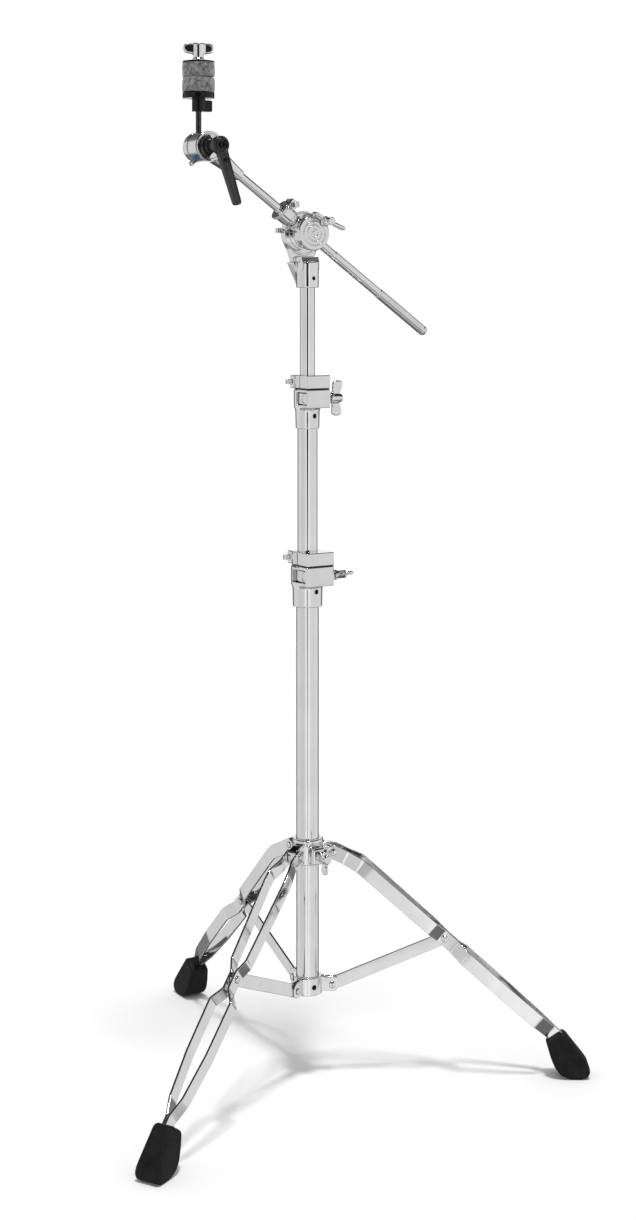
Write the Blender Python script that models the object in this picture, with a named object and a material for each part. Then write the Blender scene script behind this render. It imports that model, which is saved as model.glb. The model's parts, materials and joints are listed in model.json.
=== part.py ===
"""Cymbal boom stand: a folding double-braced tripod, two telescoping tube sections, a tilter
with a sliding boom, and a cymbal seat on its own small tilter.

Everything stands on +Z = 0. Sizes below are millimetres; mesh_object() turns them into metres.
Each sub-part is one closed solid. Empties mark the joint axes, and each moving sub-part hangs
from the empty of its joint.
"""
import math

import bmesh
import bpy
from mathutils import Matrix, Vector

MM = 0.001
GAP = 0.3                      # clearance between touching solids
ROUND = 24                     # facets of a tube or a large turned piece
SMALL_ROUND = 12               # facets of a pin, a screw or a small hole

# Where the column stands, so that the tripod's footprint is centred on the origin
COLUMN_X = -84.0
LEG_AZIMUTHS = {"a": 120.0, "b": 240.0, "c": 0.0}

# Tubes: outer radius, inner radius, lowest and highest point
BASE_TUBE = (14.3, 13.1, 109.5, 622.0)
MID_TUBE = (12.7, 11.2, 430.0, 846.0)
TOP_TUBE = (9.52, 8.2, 640.0, 1029.0)

# Tripod linkage in a leg's own plane: distance from the column axis, height
HUB_PIVOT = (32.4, 287.7)
BRACE_PIVOT = (173.9, 176.1)
COLLAR_PIVOT = (31.3, 117.8)
STRIP_HEIGHT = 17.5
STRIP_THICKNESS = 2.7
BRACE_HEIGHT = 16.0
BRACE_THICKNESS = 3.0

# Screws for a drum key: square head across flats, radius of the stem and of its hole
KEY_HEAD = 6.4
KEY_STEM = 2.2
KEY_HOLE = 2.5

# Clamps and tilter are turned about the column
CLAMP_TURN = 31.0
TILT_PIVOT_Z = 1070.0
BOOM_RISE = 35.6
BOOM_REACH = 178.5             # tilt pivot to the centre of the cymbal tilter
BOOM_TAIL = 220.0              # tilt pivot to the tail end
BOOM_RADIUS = 5.5
BOOM_BORE = 6.15

# Cymbal tilter and seat, measured from the centre of the cymbal tilter
DRUM_RADIUS = 18.4
ROD_RADIUS = 3.5
ROD_OFFSET = -17.9             # along the drum axis
SEAT_HEIGHTS = (44.0, 60.0, 67.3)
FELT_RADIUS = 20.1
LOWER_FELT = (67.6, 84.5)
UPPER_FELT = (87.1, 104.3)
WASHER = (104.6, 105.9)
WING_NUT = (106.2, 128.1)

CHROME = ("chrome", (0.86, 0.86, 0.88), 0.08, 1.0)
BLACK_PLASTIC = ("black_plastic", (0.02, 0.02, 0.022), 0.35, 0.0)
RUBBER = ("rubber", (0.025, 0.025, 0.027), 0.6, 0.0)
FELT = ("felt", (0.36, 0.36, 0.37), 0.95, 0.0)
NYLON = ("nylon", (0.55, 0.56, 0.58), 0.45, 0.0)


# ---------------------------------------------------------------- building blocks

def clear_scene():
    for old in list(bpy.data.objects):
        bpy.data.objects.remove(old, do_unlink=True)


def material(finish):
    name, colour, roughness, metallic = finish
    made = bpy.data.materials.get(name)
    if made:
        return made
    made = bpy.data.materials.new(name)
    made.use_nodes = True
    shader = made.node_tree.nodes["Principled BSDF"]
    shader.inputs["Base Color"].default_value = (*colour, 1.0)
    shader.inputs["Roughness"].default_value = roughness
    shader.inputs["Metallic"].default_value = metallic
    made.diffuse_color = (*colour, 1.0)
    return made


def mesh_object(name, bm, finish, parent=None, smooth=True):
    """Turn a bmesh in millimetres into an object in metres that hangs from parent."""
    bmesh.ops.scale(bm, vec=(MM, MM, MM), verts=bm.verts)
    bmesh.ops.recalc_face_normals(bm, faces=bm.faces)
    mesh = bpy.data.meshes.new(name)
    bm.to_mesh(mesh)
    bm.free()
    if smooth:
        mesh.shade_smooth()
        mesh.set_sharp_from_angle(angle=math.radians(35))
    made = bpy.data.objects.new(name, mesh)
    bpy.context.collection.objects.link(made)
    made.parent = parent
    if finish:
        mesh.materials.append(material(finish))
    return made


def axis_empty(name, position, parent=None, turn=Matrix.Identity(4)):
    """An empty at a joint or a reference point, position in millimetres under its parent."""
    made = bpy.data.objects.new(name, None)
    bpy.context.collection.objects.link(made)
    made.empty_display_size = 0.02
    made.parent = parent
    made.matrix_local = Matrix.Translation(Vector(position) * MM) @ turn
    return made


def helper(bm, parent, name="helper"):
    """A solid that only shapes another one: it is cut from it or joined to it."""
    made = mesh_object(name, bm, None, parent, smooth=False)
    made.hide_render = True
    made.display_type = "WIRE"
    return made


def shape(target, operation, bm):
    tool = helper(bm, target.parent, target.name + "_" + operation.lower())
    step = target.modifiers.new(operation.lower(), "BOOLEAN")
    step.operation = operation
    step.solver = "EXACT"
    step.object = tool


def cut(target, bm):
    shape(target, "DIFFERENCE", bm)


def join(target, bm):
    shape(target, "UNION", bm)


def circle_points(radius, count, centre=(0.0, 0.0), start=0.0, sweep=360.0):
    """Points round a circle; a full circle doesn't repeat its first point."""
    steps = count if sweep == 360.0 else count - 1
    points = []
    for index in range(count):
        angle = math.radians(start + sweep * index / steps)
        points.append((centre[0] + radius * math.cos(angle), centre[1] + radius * math.sin(angle)))
    return points


def plate(outline, low, high, holes=()):
    """A flat piece: an outline with holes in it, extruded from low to high along Z."""
    bm = bmesh.new()
    for loop in (outline, *holes):
        verts = [bm.verts.new((x, y, low)) for x, y in loop]
        for first, second in zip(verts, verts[1:] + verts[:1]):
            bm.edges.new((first, second))
    bmesh.ops.triangle_fill(bm, use_beauty=True, edges=bm.edges[:])
    top = bmesh.ops.extrude_face_region(bm, geom=bm.faces[:])["geom"]
    raised = [item for item in top if isinstance(item, bmesh.types.BMVert)]
    bmesh.ops.translate(bm, vec=(0.0, 0.0, high - low), verts=raised)
    return bm


def turned(profile, facets=ROUND, ring=False):
    """A piece turned about Z from (radius, height) points. A ring's profile closes on itself;
    any other profile starts and ends on the axis."""
    bm = bmesh.new()
    rows = []
    for radius, height in profile:
        if radius == 0.0:
            rows.append([bm.verts.new((0.0, 0.0, height))])
        else:
            rows.append([bm.verts.new((x, y, height)) for x, y in circle_points(radius, facets)])
    pairs = list(zip(rows, rows[1:]))
    if ring:
        pairs.append((rows[-1], rows[0]))
    for lower, upper in pairs:
        for index in range(facets):
            following = (index + 1) % facets
            corners = [lower[index % len(lower)], lower[following % len(lower)],
                       upper[following % len(upper)], upper[index % len(upper)]]
            bm.faces.new(list(dict.fromkeys(corners)))
    return bm


def tube(outer, inner, low, high, facets=ROUND):
    return turned([(outer, low), (outer, high), (inner, high), (inner, low)], facets, ring=True)


def rod(radius, low, high, facets=SMALL_ROUND, chamfer=0.0):
    if chamfer:
        side = [(radius - chamfer, low), (radius, low + chamfer), (radius, high - chamfer),
                (radius - chamfer, high)]
    else:
        side = [(radius, low), (radius, high)]
    return turned([(0.0, low), *side, (0.0, high)], facets)


def block(low, high):
    """A box between two corners."""
    outline = [(low[0], low[1]), (high[0], low[1]), (high[0], high[1]), (low[0], high[1])]
    return plate(outline, low[2], high[2])


def moved(bm, matrix):
    bmesh.ops.transform(bm, matrix=matrix, verts=bm.verts)
    return bm


def shifted(bm, x=0.0, y=0.0, z=0.0):
    return moved(bm, Matrix.Translation((x, y, z)))


def along_x(bm):
    """Turn a piece made along Z so that it runs along X."""
    return moved(bm, Matrix.Rotation(math.radians(90), 4, "Y"))


def along_y(bm):
    """Turn a piece made along Z so that it runs along Y."""
    return moved(bm, Matrix.Rotation(math.radians(-90), 4, "X"))


def about_z(degrees):
    return Matrix.Rotation(math.radians(degrees), 4, "Z")


def wing_outline(span, waist, hub):
    """Half-height outline of a pair of wings: span is tip to tip, hub the half width at the hub."""
    tip = span / 2
    right = [(hub, -waist * 0.8), (tip - 4.0, -waist), (tip, -waist * 0.45), (tip, waist * 0.6),
             (tip - 4.0, waist), (hub, waist * 0.75)]
    left = [(-x, y) for x, y in reversed(right)]
    return right + left


def wing_bolt(name, parent, finish, shaft, hub, wings, span, turn=0.0, hub_radius=5.2):
    """A bolt along Z with two wings. shaft and hub give (low, high); wings gives the heights
    between which the wings stand."""
    shaft_radius = 2.8
    profile = [(0.0, shaft[0]), (shaft_radius, shaft[0]), (shaft_radius, hub[0]),
               (hub_radius, hub[0]), (hub_radius, hub[1] - 1.0), (hub_radius - 1.0, hub[1]),
               (0.0, hub[1])]
    bolt = mesh_object(name, turned(profile, SMALL_ROUND), finish, parent)
    outline = wing_outline(span, (wings[1] - wings[0]) / 2, hub_radius - 1.5)
    pair = plate(outline, -2.0, 2.0)
    moved(pair, Matrix.Rotation(math.radians(90), 4, "X"))
    shifted(pair, z=(wings[0] + wings[1]) / 2)
    join(bolt, moved(pair, about_z(turn)))
    return bolt


def key_screw(name, parent, shaft, head, place):
    """A screw along X with a square head that takes a drum key. shaft and head give (low, high)."""
    half = KEY_HEAD / 2
    square = block((-half, -half, head[0]), (half, half, head[1]))
    made = mesh_object(name, moved(along_x(square), Matrix.Translation(place)), CHROME, parent)
    stem = along_x(rod(KEY_STEM, *shaft, 8))
    join(made, moved(stem, Matrix.Translation(place)))
    return made


# ---------------------------------------------------------------- tripod

def leg_frame(name, azimuth, distance, height, parent):
    """An empty on a leg-plane pivot: X points away from the column, Y is the hinge axis."""
    turn = about_z(azimuth)
    position = turn @ Vector((distance, 0.0, 0.0))
    return axis_empty(name, (position.x, position.y, height), parent, turn)


def strip_stations():
    """Centre line of a leg strip (distance, height) with the offset of its outer face."""
    slope = (BRACE_PIVOT[1] - 262.0) / (BRACE_PIVOT[0] - 77.0)

    def lower(distance):
        return BRACE_PIVOT[1] + slope * (distance - BRACE_PIVOT[0])

    return [(26.5, 290.7, 9.0), (*HUB_PIVOT, 9.0), (48.0, 280.3, 9.0), (66.0, 271.4, 14.6),
            (77.0, 262.0, 15.2), (158.0, lower(158.0), 11.6), (170.0, lower(170.0), 4.6),
            (187.0, lower(187.0), 4.6), (198.5, lower(198.5), 15.8), (250.0, lower(250.0), 14.9),
            (292.0, lower(292.0), 10.0), (309.0, lower(309.0), 3.0), (330.0, lower(330.0), 3.0)]


def strip_mesh(side, origin):
    """One flat strip on edge, bent in the leg's plane and sideways; side is +1 or -1."""
    stations = strip_stations()
    bm = bmesh.new()
    rows = []
    for index, (distance, height, outer) in enumerate(stations):
        before = stations[max(index - 1, 0)]
        after = stations[min(index + 1, len(stations) - 1)]
        run = Vector((after[0] - before[0], after[1] - before[1])).normalized()
        normal = Vector((-run.y, run.x))
        half = STRIP_HEIGHT / 2
        if index == 0:
            half *= 0.6
        corners = []
        for rise, face in ((-half, outer), (half, outer), (half, outer - STRIP_THICKNESS),
                           (-half, outer - STRIP_THICKNESS)):
            corners.append(bm.verts.new((distance + normal.x * rise - origin[0], side * face,
                                         height + normal.y * rise - origin[1])))
        rows.append(corners)
    for lower, upper in zip(rows, rows[1:]):
        for index in range(4):
            following = (index + 1) % 4
            bm.faces.new((lower[index], lower[following], upper[following], upper[index]))
    bm.faces.new(rows[0])
    bm.faces.new(rows[-1])
    return bm


def foot_profile():
    """Side outline of a rubber foot in the leg's plane, from the heel round the sole."""
    return [(303.0, 43.4), (319.9, 55.6), (327.0, 55.6), (350.3, 25.7), (356.0, 18.0),
            (357.9, 10.5), (355.5, 4.0), (349.0, 0.0), (334.0, 0.0), (322.0, 4.5), (313.6, 14.3),
            (308.3, 26.0)]


def foot_mesh(origin):
    """A boot: the side outline, narrower at its mouth, with chamfered long edges."""
    outline = foot_profile()
    middle = Vector((sum(x for x, z in outline), sum(z for x, z in outline))) / len(outline)
    chamfer = 3.0
    bm = bmesh.new()
    rows = []
    for side, inset in ((-1, True), (-1, False), (1, False), (1, True)):
        row = []
        for distance, height in outline:
            width = 11.5 + 5.0 * min(1.0, (56.0 - height) / 45.0)
            point = Vector((distance, height))
            if inset:
                point += (middle - point).normalized() * chamfer
                point.y = max(point.y, 0.0 if height > 0.0 else 2.0)
            else:
                width -= chamfer
            row.append(bm.verts.new((point.x - origin[0], side * width, point.y - origin[1])))
        rows.append(row)
    count = len(outline)
    for lower, upper in zip(rows, rows[1:]):
        for index in range(count):
            following = (index + 1) % count
            bm.faces.new((lower[index], lower[following], upper[following], upper[index]))
    bm.faces.new(rows[0])
    bm.faces.new(rows[-1])
    return bm


def make_leg(letter, azimuth, hub_frame):
    frame = leg_frame("leg_axis_" + letter, azimuth, HUB_PIVOT[0], 0.0, hub_frame)
    for name, side in (("left", 1), ("right", -1)):
        strip = mesh_object(f"leg_strip_{name}_{letter}", strip_mesh(side, HUB_PIVOT), CHROME, frame)
        for pivot, radius in ((HUB_PIVOT, 2.6), (BRACE_PIVOT, 2.6)):
            hole = along_y(rod(radius, -20.0, 20.0))
            cut(strip, shifted(hole, pivot[0] - HUB_PIVOT[0], 0.0, pivot[1] - HUB_PIVOT[1]))
        make_half_rivet(f"leg_rivet_{name}_{letter}", side, frame)
    foot = mesh_object("foot_" + letter, foot_mesh(HUB_PIVOT), RUBBER, frame)
    cut(foot, foot_socket())


def foot_socket():
    """The slot in a foot that takes the two strip ends."""
    end = strip_stations()[-1]
    start = strip_stations()[-2]
    run = Vector((end[0] - start[0], end[1] - start[1]))
    slot = block((-STRIP_HEIGHT / 2 - GAP, -3.0 - GAP, -25.0),
                 (STRIP_HEIGHT / 2 + GAP, 3.0 + GAP, 25.0 + GAP))
    moved(slot, Matrix.Rotation(math.atan2(run.x, run.y), 4, "Y"))
    toward = run.normalized() * -25.0
    return shifted(slot, end[0] + toward.x - HUB_PIVOT[0], 0.0, end[1] + toward.y - HUB_PIVOT[1])


def make_half_rivet(name, side, frame):
    """The half of the leg rivet that fills one strip. It stops at the strip's inner face, so
    the brace stays free while the legs fold."""
    face = 4.6
    profile = [(0.0, face - STRIP_THICKNESS), (2.3, face - STRIP_THICKNESS), (2.3, face + GAP),
               (4.4, face + GAP), (4.0, face + 1.6), (2.2, face + 2.3), (0.0, face + 2.3)]
    rivet = along_y(turned(profile, SMALL_ROUND))
    if side < 0:
        moved(rivet, Matrix.Rotation(math.radians(180), 4, "Z"))
    shifted(rivet, BRACE_PIVOT[0] - HUB_PIVOT[0], 0.0, BRACE_PIVOT[1] - HUB_PIVOT[1])
    mesh_object(name, rivet, CHROME, frame)


def cross_pin(name, parent, half_length, radius, head_radius, place, azimuth):
    """A riveted pin across a leg's plane, with a low head at both ends."""
    head = 1.9
    profile = [(0.0, -half_length - head), (head_radius * 0.6, -half_length - head),
               (head_radius, -half_length - head * 0.5), (head_radius, -half_length),
               (radius, -half_length), (radius, half_length), (head_radius, half_length),
               (head_radius, half_length + head * 0.5), (head_radius * 0.6, half_length + head),
               (0.0, half_length + head)]
    pin = along_y(turned(profile, SMALL_ROUND))
    shifted(pin, place[0], 0.0, place[1])
    mesh_object(name, moved(pin, about_z(azimuth)), CHROME, parent)


def make_brace(letter, azimuth, column):
    """A flat bar from the lower collar to a leg. It is modelled lying along X and then raised."""
    frame = leg_frame("brace_axis_" + letter, azimuth, *COLLAR_PIVOT, column)
    run = Vector(BRACE_PIVOT) - Vector(COLLAR_PIVOT)
    half = BRACE_HEIGHT / 2
    outline = circle_points(half, 7, (run.length, 0.0), -90.0, 180.0)
    outline += circle_points(half, 7, (0.0, 0.0), 90.0, 180.0)
    holes = (circle_points(2.3, SMALL_ROUND), circle_points(2.6, SMALL_ROUND, (run.length, 0.0)))
    bar = plate(outline, -BRACE_THICKNESS / 2, BRACE_THICKNESS / 2, holes)
    moved(bar, Matrix.Rotation(math.radians(90), 4, "X"))
    moved(bar, Matrix.Rotation(-math.atan2(run.y, run.x), 4, "Y"))
    mesh_object("brace_" + letter, bar, CHROME, frame)


def make_lower_collar(column):
    low, high, outer, bore = 107.2, 129.5, 18.6, BASE_TUBE[0] + GAP
    collar = mesh_object("lower_collar", tube(outer, bore, low, high), CHROME, column)
    for letter, azimuth in LEG_AZIMUTHS.items():
        for side in (1, -1):
            ear = plate(ear_outline(), 1.9, 4.4)
            moved(ear, Matrix.Rotation(math.radians(90 * side), 4, "X"))
            if side < 0:
                moved(ear, Matrix.Scale(-1, 4, (0, 0, 1)))
            join(collar, moved(ear, about_z(azimuth)))
    for letter, azimuth in LEG_AZIMUTHS.items():
        hole = shifted(along_y(rod(2.3, -9.0, 9.0)), COLLAR_PIVOT[0], 0.0, COLLAR_PIVOT[1])
        cut(collar, moved(hole, about_z(azimuth)))
        cross_pin("collar_pin_" + letter, column, 4.7, 2.0, 4.2, COLLAR_PIVOT, azimuth)
    screw_place = Matrix.Translation((0.0, 0.0, 117.0))
    turn = about_z(-62.0)
    cut(collar, moved(along_x(rod(3.0, 10.0, 25.0)), turn @ screw_place))
    profile = [(0.0, 14.7), (2.6, 14.7), (2.6, 18.9), (3.9, 18.9), (3.9, 20.4), (1.6, 20.4),
               (1.6, 19.2), (0.0, 19.2)]
    mesh_object("collar_screw", moved(along_x(turned(profile, SMALL_ROUND)), turn @ screw_place),
                CHROME, column)


def ear_outline():
    """Side view of a collar ear: a tab with a rounded outer end."""
    half = 9.4
    reach = COLLAR_PIVOT[0] + 1.0
    height = COLLAR_PIVOT[1] + 1.0
    round_end = circle_points(6.4, 5, (reach, height - half + 6.4), -90.0, 90.0)
    round_end += circle_points(6.4, 5, (reach, height + half - 6.4), 0.0, 90.0)
    return [(17.0, height - half), *round_end, (17.0, height + half)]


def make_hub(column):
    """The sliding hub: a ring with a lug for each leg and a boss for the wing bolt."""
    frame = axis_empty("hub_slide_axis", (0.0, 0.0, HUB_PIVOT[1]), column)
    bore = BASE_TUBE[0] + GAP
    profile = [(bore, -14.5), (18.6, -14.5), (19.8, -13.3), (19.8, 15.0), (18.2, 17.0), (bore, 17.0)]
    hub = mesh_object("hub", turned(profile, ring=True), CHROME, frame)
    for letter, azimuth in LEG_AZIMUTHS.items():
        end = circle_points(7.0, 7, (HUB_PIVOT[0], 0.0), -90.0, 180.0)
        lug = plate([(17.0, -11.0), (26.0, -11.0), *end, (26.0, 12.0), (17.0, 12.0)], -5.9, 5.9)
        moved(lug, Matrix.Rotation(math.radians(90), 4, "X"))
        join(hub, moved(lug, about_z(azimuth)))
    boss_turn = about_z(-60.0)
    join(hub, moved(block((17.0, -8.0, -11.5), (30.0, 8.0, 9.0)), boss_turn))
    for letter, azimuth in LEG_AZIMUTHS.items():
        hole = shifted(along_y(rod(2.6, -12.0, 12.0)), HUB_PIVOT[0], 0.0, 0.0)
        cut(hub, moved(hole, about_z(azimuth)))
        cross_pin("hub_pin_" + letter, frame, 9.3, 2.3, 4.3, (HUB_PIVOT[0], 0.0), azimuth)
    cut(hub, moved(along_x(rod(3.1, 10.0, 34.0)), boss_turn))
    bolt_frame = axis_empty("hub_bolt_axis", (0.0, 0.0, 0.0), frame,
                            boss_turn @ Matrix.Rotation(math.radians(90), 4, "Y"))
    wing_bolt("hub_wing_bolt", bolt_frame, CHROME, (14.8, 33.0), (33.0, 52.0), (39.0, 53.0), 39.0,
              turn=-8.0)
    return frame


# ---------------------------------------------------------------- height clamps and memory locks

def clamp_outline(boss, left, right, front):
    """Plan of a tube clamp: a round boss behind and a squared block in front and to the right."""
    arc = circle_points(boss, 13, (0.0, 0.0), 0.0, 180.0)
    return [(left, -front + 2.0), (left + 2.0, -front), (right - 2.0, -front), (right, -front + 2.0),
            (right, -8.0), (boss, -3.0), *arc, (left, -2.0)]


def make_clamp(name, parent, sizes, window, lower_tube, upper_tube):
    """A cast clamp. Its sleeve is fixed on the lower tube. A wing bolt draws the shoe in its
    window against a nylon bushing round the upper tube."""
    sleeve_low, block_low, block_high, boss, left, right, front = sizes
    bore = lower_tube[0] + GAP
    profile = [(0.0, sleeve_low), (boss - 1.6, sleeve_low), (boss - 0.8, sleeve_low + 2.0),
               (boss - 0.2, block_low + 2.0), (0.0, block_low + 2.0)]
    body = mesh_object(name, turned(profile), CHROME, parent)
    bush_outer = upper_tube[0] + 2.4
    join(body, plate(clamp_outline(boss, left, right, front), block_low, block_high))
    cut(body, rod(bore, sleeve_low - 5.0, lower_tube[3], ROUND))
    cut(body, rod(bush_outer + GAP, lower_tube[3], block_high + 5.0, ROUND))
    bolt_y = -bush_outer - 4.9
    middle = (block_low + block_high) / 2
    bolt_hole = shifted(along_x(rod(3.1, -10.0, right + 6.0)), 0.0, bolt_y, middle)
    cut(body, bolt_hole)
    cut(body, block((left - 2.0, window[0], middle - 8.0), (left + 6.0, window[1], middle + 8.0)))
    screw_hole = shifted(along_y(rod(2.6, -boss - 4.0, -lower_tube[0] + 1.0)), z=sleeve_low + 17.0)
    cut(body, moved(screw_hole, about_z(12.0)))
    bushing = tube(bush_outer, upper_tube[0] + GAP, lower_tube[3] + GAP, block_high - 0.5)
    mesh_object(name.replace("clamp", "bushing"), bushing, NYLON, parent)
    shoe = mesh_object(name.replace("clamp", "shoe"),
                       block((left + 0.6, window[0] + 0.5, middle - 7.0),
                             (left + 5.6, window[1] - 0.5, middle + 7.0)), CHROME, parent)
    cut(shoe, rod(bush_outer + GAP, middle - 10.0, middle + 10.0, ROUND))
    return bolt_y, middle


def make_clamp_bolt(name, parent, place, right, turn):
    frame = axis_empty(name + "_axis", place, parent, Matrix.Rotation(math.radians(90), 4, "Y"))
    wing_bolt(name, frame, CHROME, (-9.0, right + 3.5), (right + 3.5, right + 20.5),
              (right + 5.0, right + 21.0), 46.0, turn=turn)


def make_memory_lock(name, parent, sizes, thickness, tube_radius):
    """A split ring that marks the height. Its key screw crosses behind the tube."""
    boss, left, right, front = sizes
    outline = clamp_outline(boss, left, right, front)
    bore = circle_points(tube_radius + GAP, ROUND)
    lock = mesh_object(name, plate(outline, GAP, thickness, (bore,)), CHROME, parent)
    lug = block((left + 1.0, tube_radius + 1.5, GAP), (left + 25.0, tube_radius + 11.0, thickness - 0.8))
    join(lock, lug)
    screw_y = tube_radius + 6.5
    slit = left + 13.0
    cut(lock, block((slit - 0.8, tube_radius - 2.0, -1.0), (slit + 0.8, tube_radius + 14.0, 20.0)))
    screw_z = thickness / 2
    hole = shifted(along_x(rod(KEY_HOLE, left - 2.0, left + 27.0, 8)), 0.0, screw_y, screw_z)
    cut(lock, hole)
    key_screw(name.replace("memory_lock", "key_screw"), parent, (left - 4.5, left + 23.0),
              (left - 6.5, left + 0.5), (0.0, screw_y, screw_z))


# ---------------------------------------------------------------- tilter and boom

def make_yoke(parent):
    """The fixed half of the tilter. X is level across the pivot axis, Y is up and Z runs along
    the pivot axis."""
    back, face = -19.0, -10.2
    socket_low, socket_high = 1001.0 - TILT_PIVOT_Z, 1033.5 - TILT_PIVOT_Z
    head = circle_points(28.0, 19, (0.0, 0.0), -42.0, 222.0)
    outline = [*head, (-27.0, -8.0), (-22.5, -14.0), (-4.0, socket_low), (12.0, socket_low),
               (14.3, -30.0)]
    pivot_hole = circle_points(5.9, 16)
    yoke = mesh_object("yoke", plate(outline, back, face, (pivot_hole,)), CHROME, parent)
    neck = block((-13.0, -40.0, back + 1.0), (13.0, -30.0, 4.0))
    join(yoke, neck)
    upright = Matrix.Rotation(math.radians(-90), 4, "X")
    socket = turned([(0.0, socket_low), (13.0, socket_low), (14.3, socket_low + 1.5),
                     (14.3, socket_high), (0.0, socket_high)])
    join(yoke, moved(socket, upright))
    bore = rod(TOP_TUBE[0] + GAP, socket_low - 8.0, TOP_TUBE[3] - TILT_PIVOT_Z + GAP, ROUND)
    cut(yoke, moved(bore, upright))
    screw_hole = shifted(rod(2.2, 6.0, 20.0, 8), 1.0, socket_low + 12.0, 0.0)
    cut(yoke, screw_hole)
    key_place = (0.0, 3.0, back + 3.7)
    cut(yoke, moved(along_x(rod(KEY_HOLE, -40.0, -14.0, 8)), Matrix.Translation(key_place)))
    key_screw("yoke_key_screw", parent, (-32.0, -15.0), (-36.5, -30.0), key_place)


def make_tilter(parent):
    """The moving half of the tilter, in the boom's own frame: X runs down the boom to its tail,
    Y is square to it and Z is the tilt axis."""
    barrel = along_x(rod(8.5, -24.0, 24.0, ROUND, 0.8))
    body = mesh_object("tilter_body", barrel, CHROME, parent)
    join(body, rod(20.5, -9.6, 7.8, ROUND, 0.8))
    join(body, block((-7.0, 8.0, -8.0), (14.0, 27.0, 7.8)))
    join(body, rod(5.5, -22.0, -6.6, 16))
    cut(body, along_x(rod(BOOM_BORE, -30.0, 30.0, ROUND)))
    cut(body, block((-30.0, 3.0, -0.8), (30.0, 40.0, 0.8)))
    bolt_place = (3.0, 20.0)
    cut(body, shifted(rod(3.2, -14.0, 14.0), *bolt_place))
    cap_profile = [(0.0, 8.8), (21.7, 8.8), (22.5, 9.6), (22.5, 16.2), (21.3, 17.6), (13.2, 17.6),
                   (12.6, 17.0), (12.0, 17.6), (7.6, 17.6), (7.1, 17.0), (6.6, 17.6), (0.0, 18.2)]
    cap = mesh_object("tilter_cap", turned(cap_profile), CHROME, parent)
    cut(cap, shifted(rod(5.8, 5.0, 25.0, 16), *bolt_place))
    bolt_frame = axis_empty("tilter_bolt_axis", (*bolt_place, 0.0), parent)
    wing_bolt("tilter_wing_bolt", bolt_frame, CHROME, (-9.0, 19.0), (19.0, 37.0), (22.0, 34.0), 51.0,
              turn=12.0)


def make_boom_lock(parent):
    """The memory lock on the boom: a flanged ring with a squared lug and a key screw."""
    profile = [(BOOM_BORE, -50.0), (13.5, -50.0), (14.0, -49.5), (14.0, -47.0), (11.8, -46.5),
               (11.8, -33.0), (9.9, -32.0), (9.9, -28.5), (BOOM_BORE, -28.5)]
    lock = mesh_object("boom_memory_lock", along_x(turned(profile, ring=True)), CHROME, parent)
    join(lock, block((-46.0, 8.0, -8.0), (-34.8, 20.4, 8.2)))
    cut(lock, block((-55.0, 3.0, -0.7), (-20.0, 30.0, 0.7)))
    screw_place = (-39.2, 15.0)
    cut(lock, shifted(rod(2.4, -9.0, 20.0, 8), *screw_place))
    screw = mesh_object("boom_key_screw", block((-3.4, -3.4, 8.9), (3.4, 3.4, 14.9)), CHROME, parent)
    moved_head = Matrix.Translation(Vector((*screw_place, 0.0)) * MM) @ about_z(45.0)
    screw.matrix_local = moved_head
    join_in_place(screw, rod(2.1, -7.5, 11.0, 8), moved_head)


def join_in_place(target, bm, place):
    join(target, bm)
    target.modifiers[-1].object.matrix_local = place


def make_boom(parent):
    """The boom: a smooth rod with a thicker tail section and a rounded end."""
    start = -BOOM_REACH + 31.0
    profile = [(0.0, start), (BOOM_RADIUS, start), (BOOM_RADIUS, 46.0), (5.8, 47.0), (5.8, 130.0),
               (6.4, 132.0), (6.4, BOOM_TAIL - 5.0), (4.8, BOOM_TAIL - 1.2), (0.0, BOOM_TAIL)]
    mesh_object("boom_rod", along_x(turned(profile)), CHROME, parent)


def make_boom_head(frame):
    """The fixed half of the cymbal tilter: a round drum with a tapered neck that takes the boom.
    Z is the drum's axis."""
    bore = 4.4
    profile = [(bore, -13.6), (17.6, -13.6), (DRUM_RADIUS, -12.8), (DRUM_RADIUS, 9.4), (17.3, 9.8),
               (17.3, 10.4), (DRUM_RADIUS, 10.8), (DRUM_RADIUS, 12.4), (17.8, 13.0), (bore, 13.0)]
    head = mesh_object("boom_head", turned(profile, ring=True), CHROME, frame)
    down_boom = Matrix.Rotation(math.radians(-BOOM_RISE), 4, "Z")
    neck = along_x(turned([(0.0, 14.0), (12.2, 14.0), (9.6, 32.0), (6.9, 60.0), (0.0, 60.0)], 16))
    join(head, moved(neck, down_boom))
    cut(head, moved(along_x(rod(BOOM_RADIUS + GAP, 31.0 - GAP, 70.0, ROUND)), down_boom))


def make_cymbal_tilter(frame):
    """The moving half of the cymbal tilter, with the spindle that the lever pulls on."""
    rear, front = -28.0, -13.6 - GAP
    profile = [(0.0, rear), (15.0, rear), (17.2, rear + 1.4), (DRUM_RADIUS, rear + 4.0),
               (DRUM_RADIUS, front - 0.8), (17.6, front), (4.0, front), (4.0, 38.0), (0.0, 38.0)]
    drum = mesh_object("cymbal_tilter", turned(profile), CHROME, frame)
    cut(drum, shifted(along_y(rod(ROD_RADIUS + GAP, 6.0, 30.0, 16)), z=ROD_OFFSET))
    top = WING_NUT[1] - 1.5
    stem = along_y(rod(ROD_RADIUS, 6.0 + GAP, top, 16, 0.6))
    mesh_object("cymbal_rod", shifted(stem, z=ROD_OFFSET), CHROME, frame)


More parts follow.
